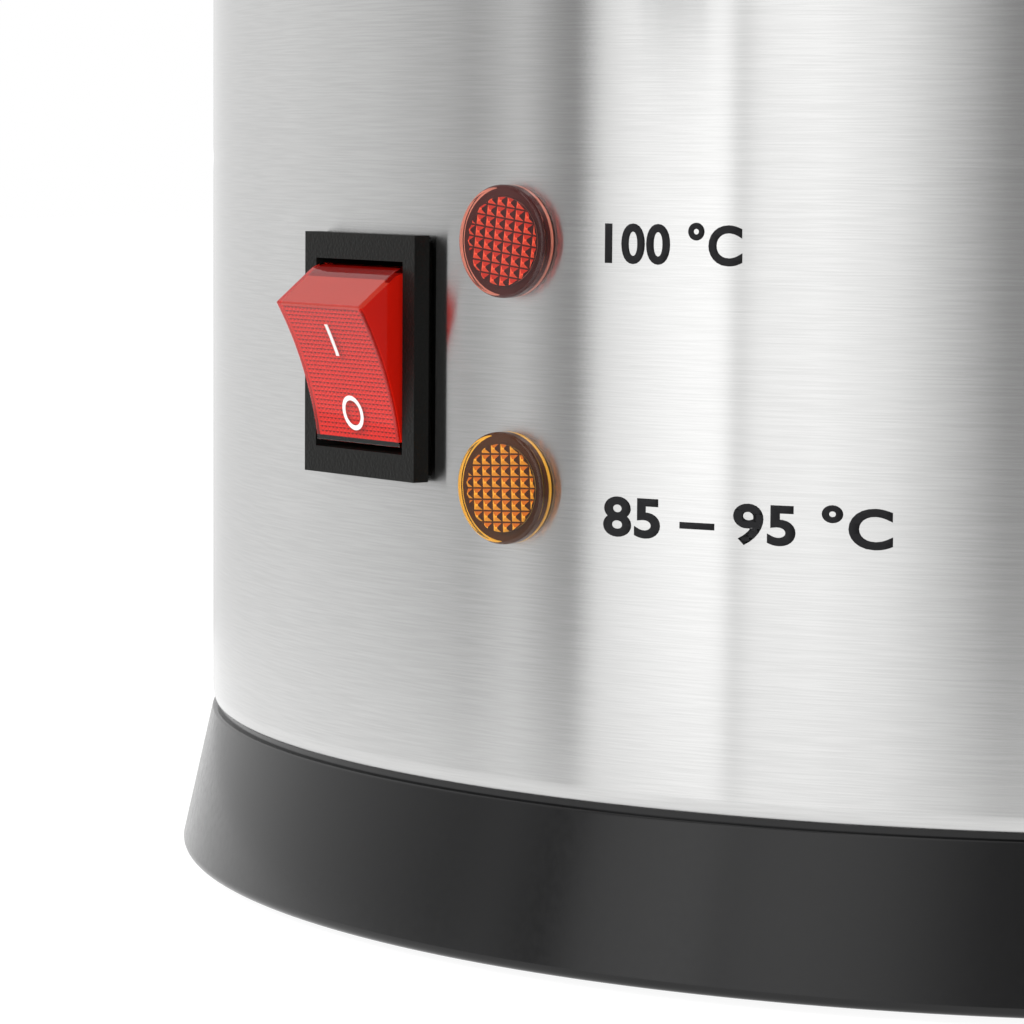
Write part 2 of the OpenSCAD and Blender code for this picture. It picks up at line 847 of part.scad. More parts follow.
module handle_brackets() {
    half = asin((leg_y + screw_land_r + bracket_end) / bracket_in);
    color("#a9acb0") for (turn = [0, 180]) rotate([0, 0, turn]) translate([0, 0, handle_z])
        difference() {
            union() {
                rotate([0, 0, -half]) rotate_extrude(angle = 2 * half, $fn = 180)
                    translate([bracket_in, -bracket_h / 2]) square([bracket_t, bracket_h]);
                for (y = [-leg_y, leg_y]) intersection() {
                    translate([screw_land_x, y, 0]) rotate([0, 90, 0])
                        cylinder(r = screw_land_r, h = beyond);
                    cylinder(r = bracket_in + bracket_t / 2, h = bracket_h, center = true,
                             $fn = 180);
                }
            }
            for (y = [-leg_y, leg_y]) translate([0, y, 0]) rotate([0, 90, 0])
                cylinder(r = handle_screw_r + fit, h = beyond);
        }
}

module handle_screws() {
    color("#b9bcc0") for (turn = [0, 180], y = [-leg_y, leg_y]) rotate([0, 0, turn])
        translate([screw_land_x, y, handle_z]) rotate([0, 90, 0])
            pan_screw(handle_screw_r, handle_screw_reach - 2 * lap, handle_head_r, handle_head_h);
}

// ---- Tap ----

module tap_body() {
    color("#c8c9cb") difference() {
        union() {
            translate([0, -(tank_in - shank_inside), tap_z]) outward()
                cylinder(r = shank_r, h = tap_reach + shell_r - tank_in + shank_inside);
            translate([0, -(shell_r + gasket_t), tap_z]) outward()
                cylinder(r = collar_r, h = collar_t);
            translate([0, gauge_y, tap_z]) cylinder(r = tee_r, h = tee_top - tap_z);
            translate([0, gauge_y, tap_z]) sphere(tee_r);
            translate([0, valve_y, valve_foot]) cylinder(r = valve_r, h = valve_top - valve_foot);
            translate([0, valve_y, spout_z + spout_tip_h])
                cylinder(r1 = spout_tip_r, r2 = valve_r - spout_shoulder,
                         h = valve_foot - spout_z - spout_tip_h);
            translate([0, valve_y, spout_z]) cylinder(r = spout_tip_r, h = spout_tip_h + lap);
        }
        translate([0, -(tank_in - shank_inside - lap), tap_z]) outward()
            cylinder(r = shank_bore_r, h = tap_reach + shell_r - tank_in + shank_inside + lap);
        translate([0, valve_y, seat_level]) cylinder(r = chamber_r, h = beyond);
        translate([0, valve_y, spout_z - lap]) cylinder(r = spout_bore_r, h = beyond);
        translate([0, gauge_y, tap_z]) cylinder(r = gauge_bore_r, h = beyond);
        translate([0, gauge_y, gauge_foot]) cylinder(r = gauge_r + gauge_fit, h = beyond);
        translate([0, gauge_y, tee_top - seal_h]) cylinder(r = seal_r, h = beyond);
    }
}

module tap_gaskets() {
    color("#d9d9d4") {
        difference() {
            translate([0, -(shell_r - gasket_sink), tap_z]) outward()
                cylinder(r = gasket_r, h = gasket_t + gasket_sink);
            translate([0, 0, tap_z]) cylinder(r = shell_r, h = beyond, center = true, $fn = 180);
            translate([0, -shell_r, tap_z]) outward()
                cylinder(r = shank_r, h = wall_cut, center = true);
        }
        // The flat washer between the wall of the tank and the nut
        difference() {
            intersection() {
                translate([0, -(tank_in - gasket_t), tap_z]) outward()
                    cylinder(r = gasket_r, h = gasket_t + lap);
                translate([0, 0, tap_z]) cylinder(r = tank_in, h = beyond, center = true, $fn = 180);
            }
            translate([0, -(tank_in - gasket_t - lap), tap_z]) outward()
                cylinder(r = shank_r, h = gasket_t + 2 * lap);
        }
    }
}

module tap_nut() {
    color("#b9bcc0") translate([0, -(tank_in - gasket_t - nut_t), tap_z]) outward()
        hex_nut(nut_r * sqrt(3), shank_r, nut_t);
}

module tap_bonnet() {
    color("#19191a") difference() {
        union() {
            translate([0, valve_y, bonnet_z]) cylinder(r = bonnet_r, h = bonnet_h - bonnet_chamfer);
            translate([0, valve_y, bonnet_top - bonnet_chamfer])
                cylinder(r1 = bonnet_r, r2 = bonnet_r - bonnet_chamfer, h = bonnet_chamfer);
            translate([-lug_half, pivot_y - pivot_lug_r, bonnet_top - 2 * lap])
                cube([2 * lug_half, pivot_lug_r + lever_arm - stem_r - stem_clear,
                      pivot_z - bonnet_top + 2 * lap]);
            translate([0, pivot_y, pivot_z]) rod_x(pivot_lug_r, lug_half);
        }
        translate([0, valve_y, bonnet_z - lap])
            cylinder(r = valve_r, h = valve_top - bonnet_z + lap);
        translate([0, valve_y, bonnet_z]) cylinder(r = chamber_r, h = bonnet_h - bonnet_roof);
        translate([0, valve_y, bonnet_z]) cylinder(r = stem_r + run_fit, h = beyond);
        translate([0, pivot_y, pivot_z]) rod_x(pin_r, beyond);
    }
}

module tap_stem() {
    color("#c0c2c5") difference() {
        translate([0, valve_y, seat_level + stem_in_cup])
            cylinder(r = stem_r, h = pivot_z + stem_end - seat_level - stem_in_cup);
        translate([0, valve_y, pivot_z]) rod_x(pin_r, beyond);
    }
}

module tap_stem_pin() {
    color("#b9bcc0") translate([0, valve_y, pivot_z]) rod_x(pin_r, stem_pin_reach);
}

module tap_seat_cup() {
    color("#c9c9c2") difference() {
        translate([0, valve_y, seat_level]) cylinder(r = cup_r, h = cup_h);
        translate([0, valve_y, seat_level + stem_in_cup]) cylinder(r = stem_r, h = cup_h);
    }
}

module tap_spring() {
    low = seat_level + cup_h + spring_wire;
    high = bonnet_top - bonnet_roof - spring_wire;
    steps = 20 * spring_turns;
    color("#b9bcc0") swept([
        for (i = [0:steps]) let (a = 360 * i / 20)
            [spring_r * cos(a), valve_y + spring_r * sin(a), low + (high - low) * i / steps]
    ], spring_wire);
}

module tap_lever() {
    color("#151516") difference() {
        union() {
            for (s = [-1, 1]) translate([s * (cheek_in + cheek_t / 2), 0, 0]) {
                translate([0, valve_y, pivot_z]) rod_x(cheek_r - cheek_step, cheek_t / 2);
                translate([0, pivot_y, pivot_z]) rod_x(cheek_r, cheek_t / 2);
                translate([-cheek_t / 2, pivot_y, pivot_z - cheek_r + cheek_step])
                    cube([cheek_t, lever_arm, 2 * (cheek_r - cheek_step)]);
                translate([0, pivot_y, pivot_z]) rotate([-grip_lift, 0, 0])
                    translate([-cheek_t / 2, -cheek_l, -cheek_r])
                        cube([cheek_t, cheek_l, 2 * cheek_r]);
            }
            translate([0, pivot_y, pivot_z]) rotate([-grip_lift, 0, 0]) {
                translate([-cheek_in - cheek_t, -cheek_l, -cheek_r])
                    cube([2 * (cheek_in + cheek_t), bridge_t, 2 * cheek_r]);
                translate([0, lap - cheek_l, 0]) outward()
                    cylinder(r1 = cheek_r, r2 = cheek_r + grip_flare,
                             h = lever_l + lap - cheek_l - cheek_r);
                translate([0, cheek_r - lever_l, 0]) sphere(cheek_r + grip_flare);
            }
        }
        translate([0, pivot_y, pivot_z]) rod_x(pin_r + run_fit, beyond);
        for (y = [0, slot_run]) translate([0, valve_y + y, pivot_z])
            rod_x(pin_r + slot_clear, beyond);
        translate([-beyond, valve_y, pivot_z - pin_r - slot_clear])
            cube([2 * beyond, slot_run, 2 * (pin_r + slot_clear)]);
    }
}

module tap_lever_pin() {
    color("#b9bcc0") translate([0, pivot_y, pivot_z]) rod_x(pin_r, stem_pin_reach);
}

// ---- Water gauge ----

module gauge_tube() {
    color([0.85, 0.9, 0.92, 0.5]) translate([0, gauge_y, gauge_foot])
        tube(gauge_r, gauge_bore_r, tube_top - gauge_foot);
}

module gauge_seal() {
    color("#2a2a2a") translate([0, gauge_y, tee_top - seal_h])
        tube(seal_r, gauge_r, seal_h);
}

module gauge_nut() {
    color("#c8c9cb") translate([0, gauge_y, gland_z]) difference() {
        cylinder(r = gland_r, h = gland_h);
        translate([0, 0, -eps]) cylinder(r = tee_r, h = tee_top - gland_z + eps);
        translate([0, 0, -eps]) cylinder(r = gauge_r + gauge_fit, h = gland_h + lap);
    }
}

module gauge_guard() {
    color("#c9c9c7") translate([0, gauge_y, gland_top]) difference() {
        tube(guard_r, guard_in, cap_z - gland_top);
        translate([-guard_slot / 2, -guard_r - lap, slot_end])
            cube([guard_slot, guard_r, cap_z - gland_top - 2 * slot_end]);
    }
}

module gauge_cap() {
    color("#19191a") difference() {
        union() {
            translate([0, gauge_y, cap_z]) cylinder(r = cap_r, h = cap_h - cap_chamfer);
            translate([0, gauge_y, cap_z + cap_h - cap_chamfer])
                cylinder(r1 = cap_r, r2 = cap_r - cap_chamfer, h = cap_chamfer);
            translate([-gauge_arm / 2, gauge_y, cap_z]) cube([gauge_arm, gauge_reach, cap_h]);
        }
        cylinder(r = shell_r, h = beyond, center = true, $fn = 180);
        translate([0, gauge_y, cap_z - lap])
            cylinder(r = gauge_r + gauge_fit, h = tube_top - cap_z + lap);
        translate([0, gauge_y, cap_z]) cylinder(r = cap_vent_r, h = cap_h + lap);
        at_shell(0, gauge_screw_z) outward() cylinder(r = gauge_screw_r, h = gauge_screw_in);
    }
}

module gauge_screw() {
    color("#b9bcc0") translate([0, -shell_in + lap, gauge_screw_z]) outward()
        pan_screw(gauge_screw_r, gauge_screw_in - lap, gauge_head_r, gauge_head_h);
}

// ---- Switch ----

// The rocker's own section, upright, with its pivot at the origin
module rocker_section(skin) {
    difference() {
        intersection() {
            circle(rocker_r - skin, $fn = 180);
            translate([rocker_back - (skin > 0 ? lap : 0), -rocker_r])
                square([2 * rocker_r, 2 * rocker_r]);
        }
        translate([face_rise + face_dip, 0]) circle(face_dip + skin, $fn = 720);
    }
}

module switch_housing() {
    depth = housing_depth;
    color("#17171a") at_shell(switch_angle, switch_z) difference() {
        union() {
            translate([-bezel_w / 2, -bezel_proud, -bezel_h / 2])
                cube([bezel_w, bezel_proud, bezel_h]);
            // The seat behind the flat bezel, which follows the round shell
            difference() {
                translate([-seat_w / 2, -lap, -seat_h / 2]) cube([seat_w, 3 * lap, seat_h]);
                translate([0, shell_r, 0])
                    cylinder(r = shell_r, h = 2 * bezel_h, center = true, $fn = 180);
            }
            translate([-housing_w / 2, lap - bezel_proud, -housing_h / 2])
                cube([housing_w, depth + bezel_proud - lap, housing_h]);
            // Snap wings behind the sheet
            for (s = [-1, 1])
                translate([s * housing_w / 2 - wing[0] / 2, shell_wall + wing_gap, -wing[2] / 2])
                    cube(wing);
        }
        translate([-window_w / 2, -bezel_proud - lap, -window_h / 2])
            cube([window_w, depth + bezel_proud + lap - housing_back, window_h]);
        translate([0, pivot_in, 0])
            rod_x(rocker_pin_r + run_fit, rocker_w / 2 + rocker_pin_in + pin_bore_end);
        translate([0, arm_pivot + pivot_in, 0]) rod_x(arm_pin_r + run_fit, housing_w);
        for (z = blade_rows, s = [-1, 1])
            translate([s * blade_u - blade_t / 2, 0, z - blade_w / 2])
                cube([blade_t, beyond, blade_w]);
    }
}

module switch_rocker() {
    color("#c21a12") at_shell(switch_angle, switch_z) translate([0, pivot_in, 0])
        rotate([rocker_tilt, 0, 0]) {
            difference() {
                side_view(rocker_w) rocker_section(0);
                side_view(rocker_w - 2 * rocker_skin) rocker_section(rocker_skin);
            }
            side_view(hub_w) {
                circle(hub_r);
                translate([0, -hub_r]) square([face_rise - rocker_skin / 2, 2 * hub_r]);
            }
            for (s = [-1, 1]) {
                translate([s * (rocker_w / 2 - rocker_skin / 2), 0, 0])
                    rod_x(hub_r, rocker_skin / 2);
                translate([s * (rocker_w / 2 + rocker_pin_in / 2), 0, 0])
                    rod_x(rocker_pin_r, rocker_pin_in / 2 + eps);
            }
            // The foot that carries the two plungers
            difference() {
                translate([-plunger_u - plunger_boss, 0, -plunger_boss])
                    cube([2 * (plunger_u + plunger_boss), plunger_hold, 2 * plunger_boss]);
                for (s = [-1, 1]) translate([s * plunger_u, plunger_hold + lap, 0]) outward()
                    cylinder(r = plunger_r, h = plunger_hold);
            }
        }
}

module switch_plungers() {
    color("#c79a3b") at_shell(switch_angle, switch_z) translate([0, pivot_in, 0])
        rotate([rocker_tilt, 0, 0]) for (s = [-1, 1]) translate([s * plunger_u, 0, 0]) {
            translate([0, plunger_tip - plunger_r, 0]) outward()
                cylinder(r = plunger_r, h = plunger_tip - plunger_r - lap);
            translate([0, plunger_tip - plunger_r, 0]) sphere(plunger_r);
        }
}

module switch_contact_arms() {
    color("#b8733a") at_shell(switch_angle, switch_z)
        translate([0, pivot_in + arm_pivot, 0]) rotate([-arm_tilt, 0, 0]) {
            for (s = [-1, 1]) translate([s * plunger_u, 0, 0]) side_view(arm_w) difference() {
                union() {
                    for (m = [-1, 1]) translate([arm_pivot - arm_face - arm_t, 0])
                        rotate(-m * arm_fold) translate([0, m > 0 ? 0 : -arm_half])
                            square([arm_t, arm_half]);
                    circle(arm_hub_r);
                }
            }
            rod_x(arm_pin_r, housing_w / 2 - arm_pin_gap);
        }
}

module switch_terminals() {
    color("#c79a3b") at_shell(switch_angle, switch_z) for (z = blade_rows, s = [-1, 1])
        translate([s * blade_u - blade_t / 2, housing_depth - housing_back, z - blade_w / 2])
            cube([blade_t, housing_back + blade_out, blade_w]);
}

// ---- Lamps ----

module lamp_lens(z, tint) {
    color(tint) at_shell(lamp_angle, z) difference() {
        union() {
            difference() {
                outward() cylinder(r = lamp_r, h = lamp_proud);
                translate([0, shell_r, 0])
                    cylinder(r = shell_r, h = beyond, center = true, $fn = 180);
            }
            translate([0, barrel_l, 0]) outward() cylinder(r = barrel_r, h = barrel_l + lap);
        }
        translate([0, barrel_l + lap, 0]) outward()
            cylinder(r = barrel_r - lens_wall, h = barrel_l + lamp_proud - lens_wall + lap);
    }
}

module heat_lamp_lens() { lamp_lens(lamp_levels[0], "#d8391c"); }
module warm_lamp_lens() { lamp_lens(lamp_levels[1], "#f0930f"); }

module lamp_bodies() {
    color("#e6e4dc") for (z = lamp_levels) at_shell(lamp_angle, z)
        translate([0, barrel_l + body_l, 0]) outward() difference() {
            union() {
                cylinder(r = barrel_r, h = body_l);
                cylinder(r = barrel_r - lens_wall, h = body_l + body_spigot);
            }
            translate([0, 0, bulb_seat]) cylinder(r = bulb_r + bulb_gap, h = beyond);
            for (s = [-1, 1]) translate([s * lead_gap, 0, -lap])
                cylinder(r = lead_r, h = bulb_seat + 2 * lap);
        }
}

module lamp_bulbs() {
    color([1, 0.75, 0.55, 0.7]) for (z = lamp_levels) at_shell(lamp_angle, z)
        translate([0, barrel_l + body_l, 0]) outward() {
            translate([0, 0, bulb_seat]) cylinder(r = bulb_r, h = body_l + bulb_l - bulb_seat);
            translate([0, 0, body_l + bulb_l]) sphere(bulb_r);
            for (s = [-1, 1]) translate([s * lead_gap, 0, -lead_l])
                cylinder(r = lead_r, h = lead_l + bulb_seat + eps);
        }
}

module lamp_clips() {
    color("#c9cbcd") for (z = lamp_levels) difference() {
        intersection() {
            at_shell(lamp_angle, z) translate([0, shell_wall + clip_t, 0]) outward()
                cylinder(r = clip_r, h = clip_t + lap);
            cylinder(r = shell_in, h = beyond, $fn = 180);
        }
        at_shell(lamp_angle, z) outward() cylinder(r = barrel_r, h = 2 * wall_cut, center = true);
    }
}

// ---- Heater ----

module heater_plate() {
    color("#b9bcbf") difference() {
        translate([0, 0, heater_z]) cylinder(r = heater_r, h = heater_t, $fn = 180);
        for (a = stud_angles) rotate([0, 0, a])
            translate([stud_ring, 0, heater_z - lap]) cylinder(r = stud_r, h = heater_t + 2 * lap);
        thermostat_places() for (s = [-1, 1]) translate([0, s * therm_ear, -lap])
            cylinder(r = therm_screw_r, h = lap + therm_screw_in + eps);
    }
}

// The two places where the heating tube turns down through the heat shield
module element_ends() {
    for (s = [-1, 1]) rotate([0, 0, end_angle(s)]) translate([element_ring, 0, 0]) children();
}
function end_angle(s) = 270 + s * (element_gap_angle / 2 + cold_end_turn);

module heating_element() {
    start = -90 + element_gap_angle / 2;
    color("#6d6a66") {
        translate([0, 0, element_z]) rotate([0, 0, start])
            rotate_extrude(angle = 360 - element_gap_angle, $fn = 180)
                translate([element_ring, 0]) circle(element_r);
        element_ends() {
            translate([0, 0, cold_end_z]) cylinder(r = cold_end_r, h = element_z - cold_end_z);
            translate([0, 0, pin_end_z])
                cylinder(r = cold_pin_r, h = cold_end_z - pin_end_z + lap);
        }
    }
}

// Studs welded to the tank, each with one nut under the plate and one under the shield
module heater_studs() {
    color("#b9bcc0") for (a = stud_angles) rotate([0, 0, a]) translate([stud_ring, 0, 0]) {
        translate([0, 0, shield_z - nut_h - stud_end])
            cylinder(r = stud_r, h = tank_z - shield_z + nut_h + stud_end);
        for (z = [heater_z - nut_h, shield_z - nut_h]) translate([0, 0, z])
            cylinder(r = nut_across / sqrt(3), h = nut_h, $fn = 6);
    }
}

// Places of the boil thermostat and the keep-warm thermostat under the plate
module thermostat_places(which = [-1, 1]) {
    for (s = which) translate([s * thermostat_off, 0, heater_z]) children();
}

// A push-on blade standing on its middle
module blade(h) {
    translate([-blade_w / 2, -blade_t / 2, 0]) cube([blade_w, blade_t, h]);
}

module thermostat(side) {
    thermostat_places([side]) mirror([0, 0, 1]) {
        cylinder(r = thermostat_r, h = cup_t);
        translate([0, 0, cup_t]) cylinder(r = therm_body_r, h = therm_body_h);
        difference() {
            translate([-strap_w / 2, -therm_ear - strap_end, 0])
                cube([strap_w, 2 * (therm_ear + strap_end), strap_t]);
            for (s = [-1, 1]) translate([0, s * therm_ear, -lap])
                cylinder(r = therm_screw_r, h = strap_t + 2 * lap);
        }
        for (s = [-1, 1]) translate([0, s * therm_tab_y, cup_t + therm_body_h - eps])
            blade(therm_tab_h + eps);
    }
}

module boil_thermostat() { color("#3a3027") thermostat(-1); }
module warm_thermostat() { color("#3a3027") thermostat(1); }

module thermostat_screws() {
    color("#b9bcc0") thermostat_places() for (s = [-1, 1])
        translate([0, s * therm_ear, -strap_t])
            pan_screw(therm_screw_r, strap_t + therm_screw_in, therm_head_r, therm_head_h);
}

// ---- Parts on the bottom plate ----

module cutout_body() {
    color("#2c2c30") translate([cutout_xy[0], cutout_xy[1], floor_z]) difference() {
        union() {
            translate([-cutout_size[0] / 2, -cutout_size[1] / 2, 0]) cube(cutout_size);
            for (s = [-1, 1]) translate([s * cutout_tab_x, 0, cutout_size[2] - eps])
                blade(cutout_tab_h + eps);
        }
        translate([0, 0, -lap])
            cylinder(r = button_r + run_fit, h = lap + button_in + button_travel + button_clear);
    }
}

module reset_button() {
    color("#b3261e") translate([cutout_xy[0], cutout_xy[1], plate_z - button_down])
        cylinder(r = button_r, h = button_down + plate_t + button_in);
}

module cutout_capillary() {
    top = [cutout_xy[0], cutout_xy[1] + capillary_y, floor_z + cutout_size[2]];
    hole = concat(capillary_hole, shield_z);
    route = [
        top, top + [0, 1, 12], [-46, 30, 60], hole - [0, 1, 19], hole,
        [-46, 36, heater_z - 14], [-30, 24, heater_z - 7],
        [bulb_end[0], bulb_end[1], heater_z - 4]
    ];
    color("#b8733a") {
        swept(smooth(route, 5), capillary_r);
        translate([bulb_end[0], bulb_end[1], heater_z - sensor_r]) rotate([0, 90, 0])
            cylinder(r = sensor_r, h = sensor_l);
    }
}

module terminal_block() {
    color("#e9e5d8") translate([block_xy[0], block_xy[1], floor_z]) difference() {
        translate([-block_size[0] / 2, -block_size[1] / 2, 0]) cube(block_size);
        for (s = [-1, 1]) translate([s * block_screw_x, 0, -lap])
            cylinder(r = block_screw_r, h = block_size[2] + 2 * lap);
        for (x = [-block_pitch, 0, block_pitch]) translate([x, 0, block_size[2] / 2]) {
            outward() cylinder(r = block_bore_r, h = block_size[1] + 2 * lap, center = true);
            translate([0, 0, lap]) cylinder(r = block_well_r, h = block_size[2]);
        }
    }
}

module terminal_screws() {
    color("#b9bcc0") for (s = [-1, 1])
        translate([block_xy[0] + s * block_screw_x, block_xy[1], floor_z + block_size[2]])
            mirror([0, 0, 1])
                pan_screw(block_screw_r, block_size[2] + plate_t, block_head_r, block_head_h);
}

module earth_stud() {
    color("#c79a3b") translate([earth_xy[0], earth_xy[1], plate_z]) {
        cylinder(r = earth_r, h = earth_l);
        for (z = [0, earth_nut_h + earth_ring_t]) translate([0, 0, plate_t + z])
            cylinder(r = earth_nut_r, h = earth_nut_h, $fn = 6);
        translate([0, 0, plate_t + earth_nut_h]) cylinder(r = earth_ring_r, h = earth_ring_t);
    }
}

// ---- Power inlet ----

module inlet_window(grow, h) {
    w = inlet_cavity[0] + 2 * grow;
    v = inlet_cavity[1] + 2 * grow;
    rotate([90, 0, 0]) linear_extrude(h) polygon([
        [-w / 2, -v / 2], [w / 2, -v / 2], [w / 2, v / 2 - inlet_chamfer],
        [w / 2 - inlet_chamfer, v / 2], [-w / 2 + inlet_chamfer, v / 2],
        [-w / 2, v / 2 - inlet_chamfer]
    ]);
}

module power_inlet() {
    color("#141416") at_shell(180, inlet_z) difference() {
        union() {
            difference() {
                translate([-inlet_flange[0] / 2, -inlet_proud, -inlet_flange[1] / 2])
                    cube([inlet_flange[0], inlet_proud + flange_sink, inlet_flange[1]]);
                translate([0, shell_r, 0])
                    cylinder(r = shell_r, h = beyond, center = true, $fn = 180);
            }
            translate([0, inlet_depth + inlet_back - inlet_proud, 0])
                inlet_window(inlet_wall, inlet_depth + inlet_back - lap);
        }
        translate([0, inlet_depth - inlet_proud, 0]) inlet_window(0, inlet_depth + lap);
        inlet_pin_places() cube([inlet_pin[0], 3 * wall_cut, inlet_pin[1]], center = true);
        for (s = [-1, 1]) translate([s * inlet_screw_span / 2, 0, 0])
            outward() cylinder(r = inlet_screw_r, h = 3 * wall_cut, center = true);
    }
}

module inlet_pin_places() {
    for (p = [[-inlet_pin_u, -inlet_pin_up], [0, inlet_pin_up], [inlet_pin_u, -inlet_pin_up]])
        translate([p[0], 0, p[1]]) children();
}

module inlet_pins() {
    color("#c9c5b0") at_shell(180, inlet_z) inlet_pin_places()
        translate([-inlet_pin[0] / 2, inlet_depth - inlet_proud - inlet_pin_l, -inlet_pin[1] / 2])
            cube([inlet_pin[0], inlet_pin_l + inlet_back + inlet_tab_l, inlet_pin[1]]);
}

module inlet_screws() {
    color("#b9bcc0") at_shell(180, inlet_z) for (s = [-1, 1])
        translate([s * inlet_screw_span / 2, -inlet_proud, 0]) mirror([0, 1, 0]) outward()
            pan_screw(inlet_screw_r, inlet_screw_l, inlet_head_r, inlet_head_h);
}

// ---- Wiring ----

// A point behind the shell: sideways along the shell, then inward from its outside
function behind(angle, z, sideways, inward) = [
    (shell_r - inward) * sin(angle) + sideways * cos(angle),
    -(shell_r - inward) * cos(angle) + sideways * sin(angle), z
];
// The end of a terminal, and a point a little farther in, to start a wire straight
function straight(angle, z, sideways, inward) =
    [behind(angle, z, sideways, inward), behind(angle, z, sideways, inward + wire_start)];
function switch_end(row, side) =
    straight(switch_angle, switch_z + blade_pitch * row, blade_u * side, housing_depth + blade_out);
function lamp_end(i, side) =
    straight(lamp_angle, lamp_levels[i], lead_gap * side, barrel_l + body_l + lead_l);
function inlet_end(u, up) = straight(180, inlet_z + up, u,
                                     inlet_depth - inlet_proud + inlet_back + inlet_tab_l);
function element_end(s) = [
    for (dz = [-pin_approach, 0]) [element_ring * cos(end_angle(s)), element_ring * sin(end_angle(s)),
                        pin_end_z + dz]
];
function thermostat_end(side, row) = let (z = heater_z - cup_t - therm_body_h - therm_tab_h - wire_r)
    [[side * thermostat_off * 0.85, row * 9, z - 0.3], [side * thermostat_off, row * therm_tab_y, z]];
function cutout_end(side) = [
    for (dz = [tab_approach, 0]) [cutout_xy[0] + side * cutout_tab_x, cutout_xy[1],
                        floor_z + cutout_size[2] + cutout_tab_h + dz]
];
function block_end(column, side) = [
    for (dy = [block_approach, 0]) [block_xy[0] + column * block_pitch,
                                    block_xy[1] + side * (block_size[1] / 2 + dy),
                                    floor_z + block_size[2] / 2]
];

module wiring() {
    color("#8a1f1a") for (route = [
        concat(inlet_end(inlet_pin_u, -inlet_pin_up), [[-16, 60, 52], [-28, 0, 50], [-34, -50, 60]],
               reversed(switch_end(0, -1))),
        concat(inlet_end(-inlet_pin_u, -inlet_pin_up), [[12, 50, 55], [5, 0, 58], [-8, -50, 70]],
               reversed(switch_end(0, 1))),
        concat(inlet_end(0, inlet_pin_up), [[16, 80, 40]],
               [[earth_xy[0] - 1, earth_xy[1] + earth_ring_r + earth_approach, plate_z + plate_t + 5],
                [earth_xy[0], earth_xy[1] + earth_ring_r, plate_z + plate_t + 3.8]]),
        concat(switch_end(1, -1), [[-40, -50, 70], [-52, -10, 55]], cutout_end(-1)),
        concat(reversed(cutout_end(1)), [[-15, 30, 80], [-3, wire_hole_y, 98], [-5, 30, shield_z + 4]],
               thermostat_end(-1, 1)),
        concat(reversed(thermostat_end(-1, -1)),
               [[-5, -30, shield_z + 3], [-3, -wire_hole_y, 96], [-6, -40, 82]], element_end(-1)),
        concat(switch_end(1, 1), [[-5, -70, 74], [10, -58, 70]], element_end(1)),
        concat(switch_end(-1, 1), [[10, -42, 68], [4, -wire_hole_y, 90], [5, -30, shield_z + 4]],
               thermostat_end(1, -1)),
        concat(reversed(thermostat_end(1, 1)),
               [[5, 30, shield_z + 3], [4, wire_hole_y, 94], [26, 46, 45]], block_end(-1, 1)),
        concat(lamp_end(0, -1), [[15, -60, 60], [34, -14, 28]], block_end(-1, -1)),
        concat(lamp_end(0, 1), [[22, -60, 66], [43, -14, 30]], block_end(0, -1)),
        concat(lamp_end(1, 1), [[24, -60, 46], [52, -14, 24]], block_end(1, -1)),
        concat(lamp_end(1, -1), [[-12, -74, 55]], reversed(switch_end(-1, -1)))
    ]) swept(smooth(route, 4), wire_r, ends = [along(route, 0), along(route, len(route) - 1)]);
}

base_skirt();
foot_ring();
bottom_plate();
base_screws();
shell_lugs();
outer_shell();
heat_shield();
inner_tank();
tank_rim();
lid_dome();
lid_collar();
lid_gasket();
lid_knob();
lid_knob_screw();
handle_left();
handle_right();
handle_brackets();
handle_screws();
tap_body();
tap_gaskets();
tap_nut();
tap_bonnet();
tap_lever();
tap_lever_pin();
tap_stem();
tap_stem_pin();
tap_seat_cup();
tap_spring();
gauge_tube();
gauge_seal();
gauge_nut();
gauge_guard();
gauge_cap();
gauge_screw();
switch_housing();
switch_rocker();
switch_plungers();
switch_contact_arms();
switch_terminals();
heat_lamp_lens();
warm_lamp_lens();
lamp_bodies();
lamp_bulbs();
lamp_clips();
heater_plate();
heating_element();
heater_studs();
boil_thermostat();
warm_thermostat();
thermostat_screws();
cutout_body();
reset_button();
cutout_capillary();
terminal_block();
terminal_screws();
earth_stud();
power_inlet();
inlet_pins();
inlet_screws();
wiring();
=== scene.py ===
"""Dresses the hot water urn: brushed steel body on a black base, rocker switch and two pilot lamps.

Blender works in metres, in the part's own frame: +Z up, the tap towards -Y, and angles round the
body count from -Y towards +X, in degrees. Sizes come from the CAD nodes' boxes and the joints, or
are named below where the boxes don't give them.
"""
import json
import math

import bmesh
import bpy
import numpy as np
from mathutils import Matrix, Vector


